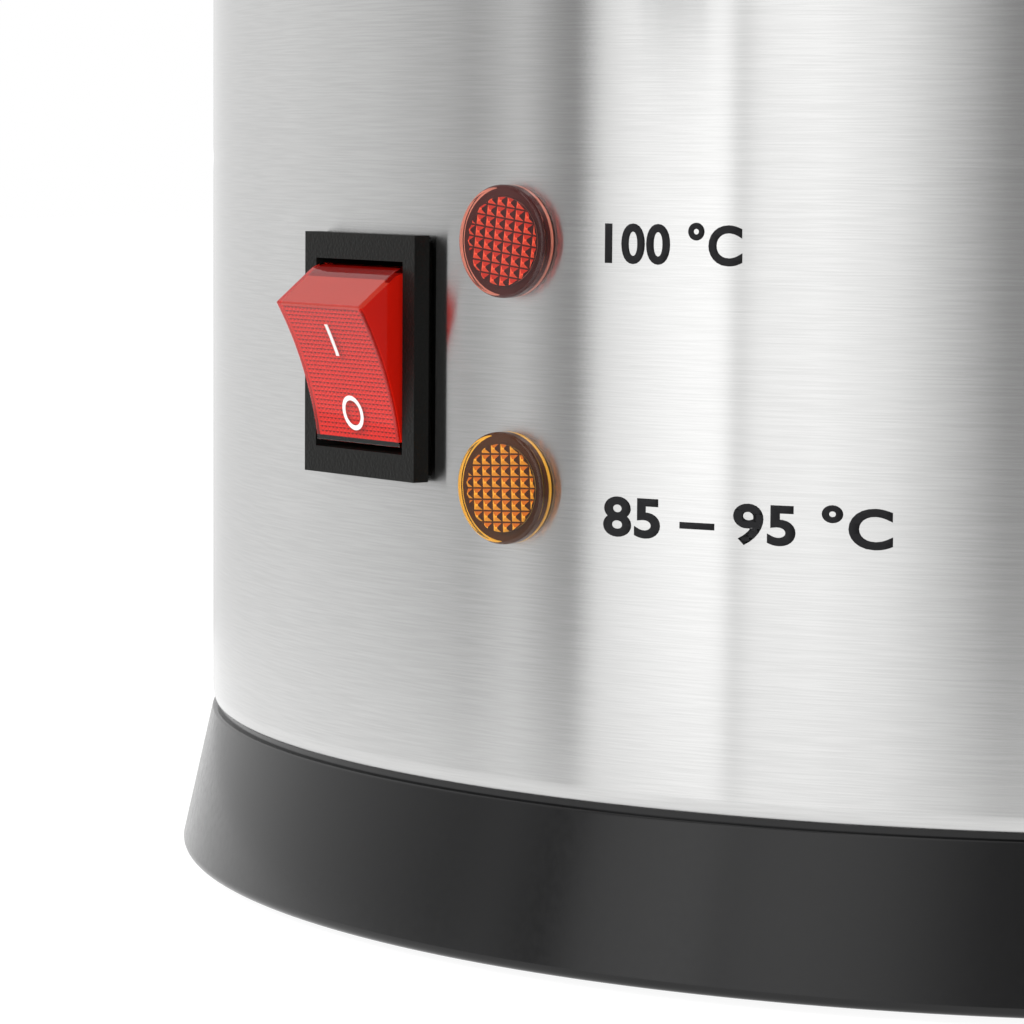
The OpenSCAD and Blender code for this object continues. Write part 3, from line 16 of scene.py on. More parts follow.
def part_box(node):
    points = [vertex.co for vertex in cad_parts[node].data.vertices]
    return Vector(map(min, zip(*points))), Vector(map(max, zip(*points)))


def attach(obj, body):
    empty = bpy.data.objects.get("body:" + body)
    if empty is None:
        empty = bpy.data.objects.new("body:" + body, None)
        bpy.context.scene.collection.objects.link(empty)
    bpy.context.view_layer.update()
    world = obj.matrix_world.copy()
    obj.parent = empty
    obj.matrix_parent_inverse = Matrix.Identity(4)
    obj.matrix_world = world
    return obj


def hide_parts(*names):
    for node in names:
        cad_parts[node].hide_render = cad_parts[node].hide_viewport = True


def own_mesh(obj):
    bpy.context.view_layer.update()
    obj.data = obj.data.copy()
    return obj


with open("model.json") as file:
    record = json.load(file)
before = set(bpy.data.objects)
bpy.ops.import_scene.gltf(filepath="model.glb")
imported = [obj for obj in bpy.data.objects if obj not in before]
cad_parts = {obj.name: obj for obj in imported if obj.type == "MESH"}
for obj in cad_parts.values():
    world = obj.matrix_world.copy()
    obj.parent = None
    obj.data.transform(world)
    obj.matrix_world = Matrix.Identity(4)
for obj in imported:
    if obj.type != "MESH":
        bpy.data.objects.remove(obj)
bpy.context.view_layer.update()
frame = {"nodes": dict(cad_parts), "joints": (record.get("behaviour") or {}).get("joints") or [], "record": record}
NODES = frame["nodes"]
MM = 0.001


# ---- Sizes, from the frame where its boxes give them ----

def joint_named(name):
    return next(j for j in frame["joints"] if j["name"] == name)


def top(node):
    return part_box(node)[1].z


def bottom(node):
    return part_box(node)[0].z


def level(node):
    """The height of a node's middle."""
    return (top(node) + bottom(node)) / 2


def reach(node):
    """How far a node goes from the body's axis along +X."""
    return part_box(node)[1].x


def azimuth_of(point):
    """The angle round the body at which a point lies, in degrees."""
    return math.degrees(math.atan2(point[0], -point[1]))


SHEET = 0.8 * MM
SHELL_R = reach("outer_shell")
STEEL_Z = bottom("outer_shell")
RIM_Z = top("outer_shell")
HEM_IN = 0.6 * MM
HEM_H = 2.5 * MM
BEAD_H = 3.6 * MM
BEAD_DEPTH = 0.1 * MM
BEAD_Z = bottom("heat_shield") - BEAD_H / 2 - 0.4 * MM

# Holes in the shell and what goes through them
CUT_DEPTH = 12 * MM
HOLE_GAP = 0.2 * MM
TAP_HOLE_R = 8.2 * MM
GAUGE_HOLE_R = 2.2 * MM
HANDLE_HOLE_R = 2.7 * MM
HANDLE_SCREW_Y = 42 * MM
INLET_HOLE_R = 1.75 * MM
INLET_SCREW_X = 20 * MM
INLET_W = 27.6 * MM
INLET_H = 20.1 * MM

# The skirt and what it holds
FOOT_R = 129.6 * MM
FOOT_ROUND = 1.2 * MM
SHADOW_GAP = 0.9 * MM
SPIGOT_IN = 1.6 * MM
SKIRT_WALL = 2.6 * MM
PLATE_GAP = 0.4 * MM
RING_W = 5 * MM
RING_GROOVE = 2 * MM
LAND_R = 99 * MM
LAND_T = 3 * MM
BASE_SCREWS = 4
BASE_SCREW_RING = 106 * MM
BASE_SCREW_HOLE_R = 2.2 * MM
BOSS_R = 5 * MM
BOSS_UP = 1 * MM
RIB_L = 17 * MM
RIB_T = 3 * MM

SWITCH_PIVOT = joint_named("rocker_tilt")["pos_m"]
SWITCH_ANGLE = azimuth_of(SWITCH_PIVOT)
SWITCH_Z = SWITCH_PIVOT[2]
PIVOT_IN = SHELL_R - math.hypot(SWITCH_PIVOT[0], SWITCH_PIVOT[1])
HOUSING_W = 21.8 * MM
HOUSING_WALL = 1.9 * MM
ROCKER_REST_TILT = 20
ROCKER_W = 18.4 * MM
ROCKER_R = 11.9 * MM
ROCKER_BACK = -2 * MM
FACE_RISE = 6 * MM
FACE_DIP = 48 * MM

LAMP_NODES = ("heat_lamp_lens", "warm_lamp_lens")
LAMP_ANGLE = -3.05
LAMP_R = (top(LAMP_NODES[0]) - bottom(LAMP_NODES[0])) / 2
LAMP_PROUD = 2 * MM
LAMP_BARREL_R = 5.8 * MM
LAMP_BARREL_L = 8 * MM
LAMP_FRONT = 1.1 * MM
PYRAMIDS_R = 5.5 * MM
# How far thin layers stay off, or sink into, what they lie on
FILM = 0.02 * MM
# Rings behind the cap's edge, a dark one of painted shade and a pale one of painted light: radius inside and
# outside, height from and to
PAINTED_SHADE_RING = (PYRAMIDS_R + FILM, 6.66 * MM, 0.42 * MM, 0.5 * MM)
PAINTED_LIGHT_RING = (6.2 * MM, 6.95 * MM, 0.03 * MM, 0.15 * MM)


# ---- Mesh helpers ----

def at_shell(angle, z):
    """A frame on the shell: -Y points outward, X runs round the body, Z is up."""
    turn = Matrix.Rotation(math.radians(angle), 4, "Z")
    return Matrix.Translation((0, 0, z)) @ turn @ Matrix.Translation((0, -SHELL_R, 0))


OUTWARD = Matrix.Rotation(math.radians(90), 4, "X")


def rounded(corners, steps=5):
    """An outline from (x, y, radius) corners, where a radius above zero rounds the corner."""
    line = []
    for i, (x, y, r) in enumerate(corners):
        here = Vector((x, y))
        if r <= 0:
            line.append(here)
            continue
        before = Vector(corners[i - 1][:2]) - here
        after = Vector(corners[(i + 1) % len(corners)][:2]) - here
        half = before.angle(after) / 2
        run = min(r / math.tan(half), before.length * 0.49, after.length * 0.49)
        radius = run * math.tan(half)
        middle = here + (before.normalized() + after.normalized()).normalized() * (radius / math.sin(half))
        start = here + before.normalized() * run - middle
        end = here + after.normalized() * run - middle
        turn = start.angle_signed(end)
        for k in range(steps + 1):
            part = Matrix.Rotation(-turn * k / steps, 2)
            line.append(middle + part @ start)
    return line


def new_mesh(points, faces):
    mesh = bpy.data.meshes.new("mesh")
    mesh.from_pydata([tuple(p) for p in points], [], faces)
    mesh.update()
    return mesh


def tidy_normals(mesh):
    """Merges corners that coincide and turns every face outward."""
    work = bmesh.new()
    work.from_mesh(mesh)
    bmesh.ops.remove_doubles(work, verts=work.verts, dist=1e-7)
    bmesh.ops.recalc_face_normals(work, faces=work.faces)
    work.to_mesh(mesh)
    work.free()
    return mesh


def revolve(outline, segments=192, place=Matrix.Identity(4)):
    """A closed outline of (radius, height) turned round Z, then put in place."""
    points = []
    for k in range(segments):
        a = 2 * math.pi * k / segments
        points += [(p[0] * math.cos(a), p[0] * math.sin(a), p[1]) for p in outline]
    n = len(outline)
    faces = []
    for k in range(segments):
        m = (k + 1) % segments
        for i in range(n):
            j = (i + 1) % n
            if outline[i][0] < 1e-9 and outline[j][0] < 1e-9:
                continue
            faces.append((k * n + i, m * n + i, m * n + j, k * n + j))
    mesh = new_mesh(points, faces)
    mesh.transform(place)
    return tidy_normals(mesh)


def prism(outline, low, high, place=Matrix.Identity(4)):
    """A closed outline in (Y outward, Z) pushed along X from low to high."""
    n = len(outline)
    points = [(x, -p[0], p[1]) for x in (low, high) for p in outline]
    faces = [tuple(range(n)), tuple(range(n, 2 * n))]
    faces += [(i, (i + 1) % n, n + (i + 1) % n, n + i) for i in range(n)]
    mesh = new_mesh(points, faces)
    mesh.transform(place)
    return tidy_normals(mesh)


def block(low, high, place=Matrix.Identity(4)):
    """A box between two corners."""
    work = bmesh.new()
    bmesh.ops.create_cube(work, size=1)
    size = Vector(high) - Vector(low)
    middle = (Vector(high) + Vector(low)) / 2
    fit = Matrix.Translation(middle) @ Matrix.Diagonal((*size, 1))
    bmesh.ops.transform(work, matrix=fit, verts=work.verts)
    mesh = bpy.data.meshes.new("mesh")
    work.to_mesh(mesh)
    work.free()
    mesh.transform(place)
    return mesh


def rod(radius, low, high, place=Matrix.Identity(4), segments=48):
    """A cylinder along Z."""
    return revolve([(0, low), (radius, low), (radius, high), (0, high)], segments, place)


def joined(meshes):
    """Several meshes as one, each still closed by itself."""
    work = bmesh.new()
    for mesh in meshes:
        work.from_mesh(mesh)
    whole = bpy.data.meshes.new("mesh")
    work.to_mesh(whole)
    work.free()
    return whole


def boolean(mesh, others, how="DIFFERENCE"):
    """The mesh with the other closed meshes cut away or added, one shape at the end."""
    base = bpy.data.objects.new("base", mesh)
    tool = bpy.data.objects.new("tool", joined(others))
    for o in (base, tool):
        bpy.context.scene.collection.objects.link(o)
    change = base.modifiers.new("cut", "BOOLEAN")
    change.operation = how
    change.solver = "EXACT"
    change.use_self = how == "UNION"
    change.object = tool
    bpy.context.view_layer.update()
    done = bpy.data.meshes.new_from_object(base.evaluated_get(bpy.context.evaluated_depsgraph_get()))
    for o in (base, tool):
        bpy.data.objects.remove(o)
    return done


def smooth(mesh, angle=30):
    mesh.shade_smooth()
    mesh.set_sharp_from_angle(angle=math.radians(angle))


def soften(obj, width, segments=3, angle=30):
    """Rounds an object's edges with modifiers, so that its own mesh stays as it is."""
    weld = obj.modifiers.new("Weld", "WELD")
    weld.merge_threshold = 1e-6
    bevel = obj.modifiers.new("Bevel", "BEVEL")
    bevel.width = width
    bevel.segments = segments
    bevel.limit_method = "ANGLE"
    bevel.angle_limit = math.radians(angle)
    bevel.harden_normals = True


def piece(name, mesh, slot, body="urn", replaces=(), material=None):
    """A mesh that rides on a body, in its slot's material unless it has its own."""
    obj = bpy.data.objects.new(name, mesh)
    bpy.context.scene.collection.objects.link(obj)
    if not mesh.materials:
        mesh.materials.append(material or MATERIALS[slot])
    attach(obj, body)
    if replaces:
        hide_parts(*replaces)
    return obj


# ---- Materials ----

def plain(name, colour, roughness, metallic=0.0, **sockets):
    """A Principled material. Returns it with its node tree and shader."""
    material = bpy.data.materials.new(name)
    material.use_nodes = True
    tree = material.node_tree
    shader = tree.nodes["Principled BSDF"]
    shader.inputs["Base Color"].default_value = (*colour, 1)
    shader.inputs["Roughness"].default_value = roughness
    shader.inputs["Metallic"].default_value = metallic
    for socket, value in sockets.items():
        shader.inputs[socket.replace("_", " ")].default_value = value
    return material, tree, shader


def noise(tree, scale, detail=3, stretch=(1, 1, 1)):
    """Noise in the object's own coordinates, in waves per metre."""
    where = tree.nodes.new("ShaderNodeTexCoord")
    mapping = tree.nodes.new("ShaderNodeMapping")
    mapping.inputs["Scale"].default_value = stretch
    pattern = tree.nodes.new("ShaderNodeTexNoise")
    pattern.inputs["Scale"].default_value = scale
    pattern.inputs["Detail"].default_value = detail
    tree.links.new(where.outputs["Object"], mapping.inputs["Vector"])
    tree.links.new(mapping.outputs["Vector"], pattern.inputs["Vector"])
    return pattern.outputs["Fac"]


def between(tree, factor, low, high):
    """A number that runs from low to high as the factor runs from 0 to 1."""
    node = tree.nodes.new("ShaderNodeMapRange")
    node.inputs["To Min"].default_value = low
    node.inputs["To Max"].default_value = high
    tree.links.new(factor, node.inputs["Value"])
    return node.outputs["Result"]


def shades(tree, factor, low, high, start=0.35, end=0.65):
    """A colour that runs from one shade to another over part of the factor's range."""
    ramp = tree.nodes.new("ShaderNodeValToRGB")
    ramp.color_ramp.elements[0].position = start
    ramp.color_ramp.elements[0].color = (*low, 1)
    ramp.color_ramp.elements[1].position = end
    ramp.color_ramp.elements[1].color = (*high, 1)
    tree.links.new(factor, ramp.inputs["Fac"])
    return ramp.outputs["Color"]


def bump(tree, shader, height, distance):
    """Raises a shader's surface by up to a distance."""
    node = tree.nodes.new("ShaderNodeBump")
    node.inputs["Distance"].default_value = distance
    node.inputs["Strength"].default_value = 1.0
    tree.links.new(height, node.inputs["Height"])
    tree.links.new(node.outputs["Normal"], shader.inputs["Normal"])


def brushed_steel():
    """Stainless sheet brushed round the body, so highlights stretch up and down."""
    material, tree, shader = plain("brushed_steel", (0.60, 0.60, 0.595), 0.21, 1.0,
                                   Anisotropic=1.0, Anisotropic_Rotation=0.25)
    tangent = tree.nodes.new("ShaderNodeTangent")
    tangent.direction_type = "RADIAL"
    tangent.axis = "Z"
    tree.links.new(tangent.outputs["Tangent"], shader.inputs["Tangent"])
    streaks = noise(tree, 1, 3, (120, 120, 5600))
    tone = shades(tree, streaks, (0.575, 0.575, 0.57), (0.625, 0.625, 0.62))
    tree.links.new(tone, shader.inputs["Base Color"])
    tree.links.new(between(tree, streaks, 0.19, 0.23), shader.inputs["Roughness"])
    bump(tree, shader, noise(tree, 1, 3, (1800, 1800, 5600)), 0.0022 * MM)
    return material


def metal(name, colour, roughness, wear=0.05):
    """Plain metal with faint uneven patches."""
    material, tree, shader = plain(name, colour, roughness, 1.0)
    patches = noise(tree, 180, 4)
    tree.links.new(between(tree, patches, roughness - wear, roughness + wear), shader.inputs["Roughness"])
    return material


def plastic(name, colour, roughness, grain=700, depth=0.02, shine=0.5):
    """Moulded plastic with a fine grain."""
    material, tree, shader = plain(name, colour, roughness, Specular_IOR_Level=shine)
    pebbles = noise(tree, grain, 2)
    tree.links.new(between(tree, pebbles, roughness - 0.06, roughness + 0.06), shader.inputs["Roughness"])
    if depth:
        bump(tree, shader, pebbles, depth * MM)
    return material


def clear(name, colour, roughness=0.03, **sockets):
    """Clear or tinted plastic or glass."""
    material, tree, shader = plain(name, colour, roughness, Transmission_Weight=1.0, **sockets)
    ripple = noise(tree, 240, 2)
    tree.links.new(between(tree, ripple, roughness, roughness + 0.03), shader.inputs["Roughness"])
    return material


MATERIALS = {
    "brushed_steel": brushed_steel(),
    "polished_steel": metal("polished_steel", (0.82, 0.82, 0.81), 0.16, 0.03),
    "zinc_steel": metal("zinc_steel", (0.62, 0.63, 0.65), 0.38),
    "chrome_brass": metal("chrome_brass", (0.78, 0.79, 0.80), 0.09, 0.02),
    "black_base": plastic("black_base", (0.0035, 0.0035, 0.0037), 0.20, 900, 0.003, 0.40),
    "black_bezel": plastic("black_bezel", (0.006, 0.006, 0.0055), 0.38, 2200, 0.07, 0.14),
    "black_phenolic": plastic("black_phenolic", (0.014, 0.014, 0.015), 0.30, 500, 0.004),
    "black_rubber": plastic("black_rubber", (0.012, 0.012, 0.012), 0.75, 900, 0.02),
    "silicone": plastic("silicone", (0.62, 0.62, 0.58), 0.55, 600, 0),
    "rocker_red": clear("rocker_red", (1.0, 0.30, 0.16), 0.04, IOR=1.38),
    "lens_red": clear("lens_red", (1.0, 0.34, 0.26), 0.04, IOR=1.49),
    "lens_amber": clear("lens_amber", (1.0, 0.62, 0.14), 0.04, IOR=1.49),
    "clear_glass": clear("clear_glass", (0.93, 0.97, 0.95), 0.01, IOR=1.47),
    "brass": metal("brass", (0.78, 0.58, 0.26), 0.30),
    "copper": metal("copper", (0.80, 0.42, 0.28), 0.32),
    "aluminium_plate": metal("aluminium_plate", (0.70, 0.70, 0.71), 0.42),
    "heater_sheath": metal("heater_sheath", (0.40, 0.39, 0.38), 0.45),
    "phenolic_brown": plastic("phenolic_brown", (0.16, 0.06, 0.03), 0.45),
    "white_nylon": plastic("white_nylon", (0.85, 0.84, 0.82), 0.45, 500, 0.005),
    "reset_red": plastic("reset_red", (0.60, 0.03, 0.02), 0.40),
    "wire_red": plastic("wire_red", (0.33, 0.02, 0.02), 0.50),
}


def paint_cad_nodes():
    """Gives every CAD node the material of its slot."""
    for part in frame["record"]["subparts"]:
        obj = NODES[part["node"]]
        obj.data.materials.clear()
        obj.data.materials.append(MATERIALS[part["material_slot"]])


# ---- Body ----

def shell_side():
    """The sheet's outer line from the hem to the rim: (how far in, height)."""
    hem = [(HEM_IN * (1 - math.sin(a)), STEEL_Z + HEM_H * (1 - math.cos(a)))
           for a in np.linspace(0, math.pi / 2, 9)]
    bead = [(BEAD_DEPTH * (1 + math.cos(a)) / 2, BEAD_Z + BEAD_H / 2 * a / math.pi)
            for a in np.linspace(-math.pi, math.pi, 15)]
    return hem + bead + [(0, RIM_Z)]


def shell_cutters():
    """Everything that is cut through the sheet."""
    def window(half_w, half_h, place):
        return block((-half_w, -CUT_DEPTH, -half_h), (half_w, CUT_DEPTH, half_h), place)

    def hole(radius, place):
        return rod(radius, -CUT_DEPTH, CUT_DEPTH, place @ OUTWARD)

    switch = at_shell(SWITCH_ANGLE, SWITCH_Z)
    inlet = at_shell(180, level("power_inlet"))
    cuts = [
        window(HOUSING_W / 2 + HOLE_GAP, ROCKER_R + HOUSING_WALL + HOLE_GAP, switch),
        window(INLET_W / 2 + HOLE_GAP, INLET_H / 2 + HOLE_GAP, inlet),
        hole(TAP_HOLE_R, at_shell(0, level("tap_gaskets"))),
        hole(GAUGE_HOLE_R, at_shell(0, level("gauge_cap"))),
    ]
    cuts += [hole(LAMP_BARREL_R + HOLE_GAP, at_shell(LAMP_ANGLE, level(n))) for n in LAMP_NODES]
    across = Matrix.Rotation(math.radians(90), 4, "Y")
    for y in (-HANDLE_SCREW_Y, HANDLE_SCREW_Y):
        place = Matrix.Translation((0, y, level("handle_right"))) @ across
        cuts.append(rod(HANDLE_HOLE_R, -2 * SHELL_R, 2 * SHELL_R, place))
    for x in (-INLET_SCREW_X, INLET_SCREW_X):
        cuts.append(hole(INLET_HOLE_R, inlet @ Matrix.Translation((x, 0, 0))))
    return cuts


def round_wall_normals(mesh):
    """Points the normals of the sheet's plain wall straight away from the axis, also beside a hole."""
    smooth(mesh)
    count = len(mesh.loops)
    normals = np.zeros(count * 3, np.float32)
    mesh.corner_normals.foreach_get("vector", normals)
    normals = normals.reshape(-1, 3)
    verts = np.zeros(len(mesh.vertices) * 3, np.float32)
    mesh.vertices.foreach_get("co", verts)
    verts = verts.reshape(-1, 3)
    corner = np.zeros(count, np.int32)
    mesh.loops.foreach_get("vertex_index", corner)
    sizes = np.zeros(len(mesh.polygons), np.int32)
    mesh.polygons.foreach_get("loop_total", sizes)
    flat = np.zeros(len(mesh.polygons) * 3, np.float32)
    mesh.polygons.foreach_get("normal", flat)
    flat = np.repeat(flat.reshape(-1, 3), sizes, axis=0)
    away = verts[corner] * (1, 1, 0)
    away /= np.linalg.norm(away, axis=1)[:, None]
    facing = (flat * away).sum(1)
    wall = np.abs(facing) > 0.9995
    normals[wall] = away[wall] * np.sign(facing[wall])[:, None]
    mesh.normals_split_custom_set(normals.tolist())


def outer_shell():
    """The steel sheet with its rolled edge, bead and holes."""
    line = shell_side()
    outline = [(SHELL_R - p[0], p[1]) for p in line]
    outline += [(SHELL_R - SHEET - p[0], p[1]) for p in reversed(line)]
    mesh = boolean(revolve(outline, 360), shell_cutters())
    round_wall_normals(mesh)
    return piece("shell", mesh, "brushed_steel", replaces=["outer_shell"])


def base_outline():
    """The skirt's section, open at the top behind the shell."""
    foot_z = bottom("base_skirt")
    spigot_top = top("base_skirt")
    shoulder_z = STEEL_Z - SHADOW_GAP
    ceiling_z = shoulder_z - SKIRT_WALL
    ledge_r = SHELL_R - SHEET
    spigot_r = SHELL_R - SPIGOT_IN
    spigot_in = spigot_r - SKIRT_WALL
    plate_r = reach("bottom_plate") + PLATE_GAP
    plate_top = top("bottom_plate")
    land_top = plate_top + LAND_T
    ring_lo = ring_in()
    ring_hi = reach("foot_ring")
    groove_z = foot_z + RING_GROOVE
    edge = 0.3 * MM
    return rounded([
        (plate_r, foot_z, edge), (ring_lo, foot_z, 0), (ring_lo, groove_z, 0),
        (ring_hi, groove_z, 0), (ring_hi, foot_z, 0), (FOOT_R, foot_z, FOOT_ROUND),
        (SHELL_R, shoulder_z, 0.7 * MM), (ledge_r, shoulder_z, 0), (ledge_r, STEEL_Z, 0),
        (spigot_r, STEEL_Z, 0), (spigot_r, spigot_top, edge),
        (spigot_in, spigot_top, edge), (spigot_in, ceiling_z, 0),
        (SHELL_R - 3.8 * MM, ceiling_z, 0), (FOOT_R - 4 * MM, land_top, 1 * MM),
        (LAND_R, land_top, 0), (LAND_R, plate_top, 0), (plate_r, plate_top, 0),
    ], 8)


def ring_in():
    """Inner radius of the rubber foot ring."""
    return reach("foot_ring") - RING_W


def base_skirt():
    """The moulded skirt with the bosses and ribs of the bottom plate's screws."""
    mesh = revolve(base_outline(), 360)
    high = top("base_skirt")
    low = top("bottom_plate") + BOSS_UP
    places = [screw_place(i) for i in range(BASE_SCREWS)]
    bosses = [rod(BOSS_R, low, high, p) for p in places]
    ribs = [block((0, -RIB_T / 2, low), (RIB_L, RIB_T / 2, high), p) for p in places]
    mesh = boolean(mesh, bosses + ribs, "UNION")
    mesh = boolean(mesh, [rod(BASE_SCREW_HOLE_R, 0, 2 * high, p) for p in places])
    smooth(mesh, 25)
    return piece("skirt", mesh, "black_base", replaces=["base_skirt"])


def screw_place(i):
    """The place of one of the four base screws."""
    turn = Matrix.Rotation(math.radians(45 + 90 * i), 4, "Z")
    return turn @ Matrix.Translation((BASE_SCREW_RING, 0, 0))


def foot_ring():
    """The rubber ring that the urn stands on."""
    outline = rounded([
        (ring_in(), bottom("foot_ring"), 0.5 * MM), (reach("foot_ring"), bottom("foot_ring"), 0.5 * MM),
        (reach("foot_ring"), top("foot_ring"), 0), (ring_in(), top("foot_ring"), 0),
    ])
    mesh = revolve(outline, 256)
    smooth(mesh)
    return piece("foot_ring_rubber", mesh, "black_rubber", replaces=["foot_ring"])


# ---- Tank and lid ----

def tank():
    """The tank with its rounded floor and the tap's hole."""
    floor_round = 6 * MM
    edge = 0.2 * MM
    tank_r = reach("inner_tank")
    inner_r = tank_r - SHEET
    low = bottom("inner_tank")
    high = top("inner_tank")
    outline = rounded([
        (0, low, 0), (tank_r, low, floor_round), (tank_r, high, edge),
        (inner_r, high, edge), (inner_r, low + SHEET, floor_round - SHEET), (0, low + SHEET, 0),
    ], 8)
    place = Matrix.Translation((0, -tank_r, level("tap_gaskets"))) @ OUTWARD
    hole = rod(TAP_HOLE_R, -20 * MM, 20 * MM, place)
    mesh = boolean(revolve(outline, 256), [hole])
    smooth(mesh)
    return piece("tank", mesh, "polished_steel", replaces=["inner_tank"])


def rim():
    """The tank's lip, folded down over the shell."""
    outer = reach("tank_rim")
    low = bottom("tank_rim")
    high = top("tank_rim")
    tank_r = reach("inner_tank")
    outline = rounded([
        (tank_r, high - SHEET, 0), (outer - SHEET, high - SHEET, 0.1 * MM), (outer - SHEET, low, 0.1 * MM),
        (outer, low, 0.3 * MM), (outer, high, 0.7 * MM), (tank_r, high, 0),
    ])
    mesh = revolve(outline, 360)
    smooth(mesh)
    return piece("rim", mesh, "polished_steel", replaces=["tank_rim"])


def lid():
    """The dome with its flange, rolled edge and three steam vents."""
    seat = bottom("lid_dome")
    edge_r = reach("lid_dome")
    flange = 6 * MM
    roll = 1.3 * MM
    bore = 2.5 * MM
    vent_r = 2 * MM
    vent_ring = 42 * MM
    dome_r = edge_r - flange
    rise = 24 * MM
    ball = (dome_r * dome_r + rise * rise) / (2 * rise)
    centre = seat + rise - ball
    collar_r = reach("lid_collar")
    land = 15 * MM
    land_z = centre + math.sqrt(ball * ball - land * land)
    outer_arc = [(ball * math.sin(a), centre + ball * math.cos(a))
                 for a in np.linspace(math.asin(land / ball), math.acos((seat + SHEET - centre) / ball), 40)]
    inside = ball - SHEET
    inner_arc = [(inside * math.sin(a), centre + inside * math.cos(a))
                 for a in np.linspace(math.acos((seat - centre) / inside), math.asin(land / inside), 40)]
    roll_arc = [(edge_r - roll + roll * math.sin(a), seat + roll - roll * math.cos(a))
                for a in np.linspace(2.35, 0, 12)]
    outline = [(bore, land_z - SHEET), (bore, land_z), (land, land_z)]
    outline += outer_arc[1:] + roll_arc + [(collar_r - SHEET, seat)]
    outline += [p for p in inner_arc if p[0] < collar_r - 2 * SHEET] + [(land, land_z - SHEET)]
    mesh = revolve(outline, 256)
    vents = []
    for a in (90, 210, 330):
        place = Matrix.Rotation(math.radians(a), 4, "Z") @ Matrix.Translation((vent_ring, 0, seat))
        vents.append(rod(vent_r, -5 * MM, 60 * MM, place))
    mesh = boolean(mesh, vents)
    smooth(mesh, 25)
    return piece("lid_top", mesh, "polished_steel", "lid", ["lid_dome"])


def knob():
    """The turned knob: a foot, a hollow waist and a round head."""
    low = bottom("lid_knob")
    high = top("lid_knob")
    head_r = reach("lid_knob")
    head_h = 12 * MM
    head_round = 6 * MM
    foot_r = 12 * MM
    foot_edge = 0.4 * MM
    bore = 2.5 * MM
    bore_top = low + 12 * MM
    waist_r = 6.1 * MM
    waist = [(15 * MM - waist_r * math.sin(a), low + 5.5 * MM - waist_r * math.cos(a), 0)
             for a in np.linspace(0.98, 2.75, 14)]
    foot = [(bore, low, 0), (foot_r, low, foot_edge), (foot_r, low + 1.4 * MM, foot_edge)]
    head = [
        (head_r - head_round, high - head_h, 0), (head_r, high - head_h, 5.9 * MM),
        (head_r, high, head_round), (0, high, 0), (0, bore_top, 0), (bore, bore_top, 0),
    ]
    outline = rounded(foot + waist + head, 10)
    mesh = revolve(outline, 128)
    smooth(mesh)
    return piece("knob", mesh, "black_phenolic", "lid", ["lid_knob"])


# ---- Tap ----

def coil(middle, radius, low, high, turns, wire):
    """A round wire wound round Z, 28 steps a turn."""
    steps = 28 * turns
    sides = 10
    points = []
    for i in range(steps + 1):
        a = 2 * math.pi * turns * i / steps
        z = low + (high - low) * i / steps
        for k in range(sides):
            b = 2 * math.pi * k / sides
            r = radius + wire * math.cos(b)
            points.append((middle.x + r * math.cos(a), middle.y + r * math.sin(a), z + wire * math.sin(b)))
    faces = [tuple(range(sides)), tuple(range(steps * sides, (steps + 1) * sides))]
    for i in range(steps):
        for k in range(sides):
            m = (k + 1) % sides
            faces.append((i * sides + k, i * sides + m, (i + 1) * sides + m, (i + 1) * sides + k))
    return tidy_normals(new_mesh(points, faces))


def valve_spring():
    """The valve's spring, which rises with the stem."""
    low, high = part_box("tap_spring")
    wire = 0.6 * MM
    turns = 7
    middle = (low + high) / 2
    mesh = coil(middle, (high.x - low.x) / 2 - wire, low.z + wire, high.z - wire, turns, wire)
    smooth(mesh)
    obj = piece("valve_spring", mesh, "zinc_steel", "valve_stem", ["tap_spring"])
    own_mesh(obj)


# ---- Switch ----

SKIN_FRONT = 0.6 * MM
SKIN_SIDE = 0.4 * MM
SKIN_END = 0.8 * MM
# The core's flat ends are split at this share of their length. On the upper end, faces whose middle lies further
# out than the second value are painted light, and those behind it are painted shade.
CORE_SHADE = 0.8
CORE_SHADE_OUT = 1.3 * MM
# The core's own red, a paler copy painted on its upper end as light, and a dark copy painted on as shade.
CORE_RED = plastic("core_red", (0.53, 0.020, 0.010), 0.45, 300, 0, 0)
CORE_PAINTED_LIGHT = plastic("core_painted_light", (0.33, 0.05, 0.04), 0.45, 300, 0, 0)
CORE_PAINTED_SHADE = plastic("core_painted_shade", (0.15, 0.005, 0.004), 0.45, 300, 0, 0)


def rocker_place():
    """The rocker's own frame at rest: X across its face, Z along it, -Y out of it."""
    tilt = Matrix.Rotation(math.radians(ROCKER_REST_TILT), 4, "X")
    return at_shell(SWITCH_ANGLE, SWITCH_Z) @ Matrix.Translation((0, PIVOT_IN, 0)) @ tilt


def face_out(v, inset=0.0):
    """How far out the rocker's hollow face lies, at a height v on the rocker."""
    return FACE_RISE + FACE_DIP - math.sqrt((FACE_DIP + inset) ** 2 - v * v)


def rocker_line(inset, end_inset=None):
    """The rocker's side outline: hollow face, flat ends that turn into round ones, flat back."""
    r = ROCKER_R - (inset if end_inset is None else end_inset)
    edge = next(v for v in np.linspace(r, 0, 4000) if math.hypot(face_out(v, inset), v) <= r)
    face = [(face_out(v, inset), v) for v in np.linspace(-edge, edge, 41)]
    back = ROCKER_BACK + inset
    upper = [(r * math.cos(a), r * math.sin(a)) for a in np.linspace(math.pi / 2, math.acos(back / r), 6)]
    lower = [(p[0], -p[1]) for p in reversed(upper)]
    corner = face[-1]
    # This point splits the flat end where the core's painted light gives way to painted shade.
    shade = (corner[0] * (1 - CORE_SHADE), corner[1] + (r - corner[1]) * CORE_SHADE)
    return face + [shade] + upper + lower


def rocker_skin():
    """The clear red moulding round the core."""
    mesh = prism(rocker_line(0), -ROCKER_W / 2, ROCKER_W / 2, rocker_place())
    obj = piece("rocker_clear", mesh, "rocker_red", "rocker", ["switch_rocker"])
    smooth(mesh)
    soften(obj, width=0.18 * MM)
    obj.visible_shadow = False
    return obj


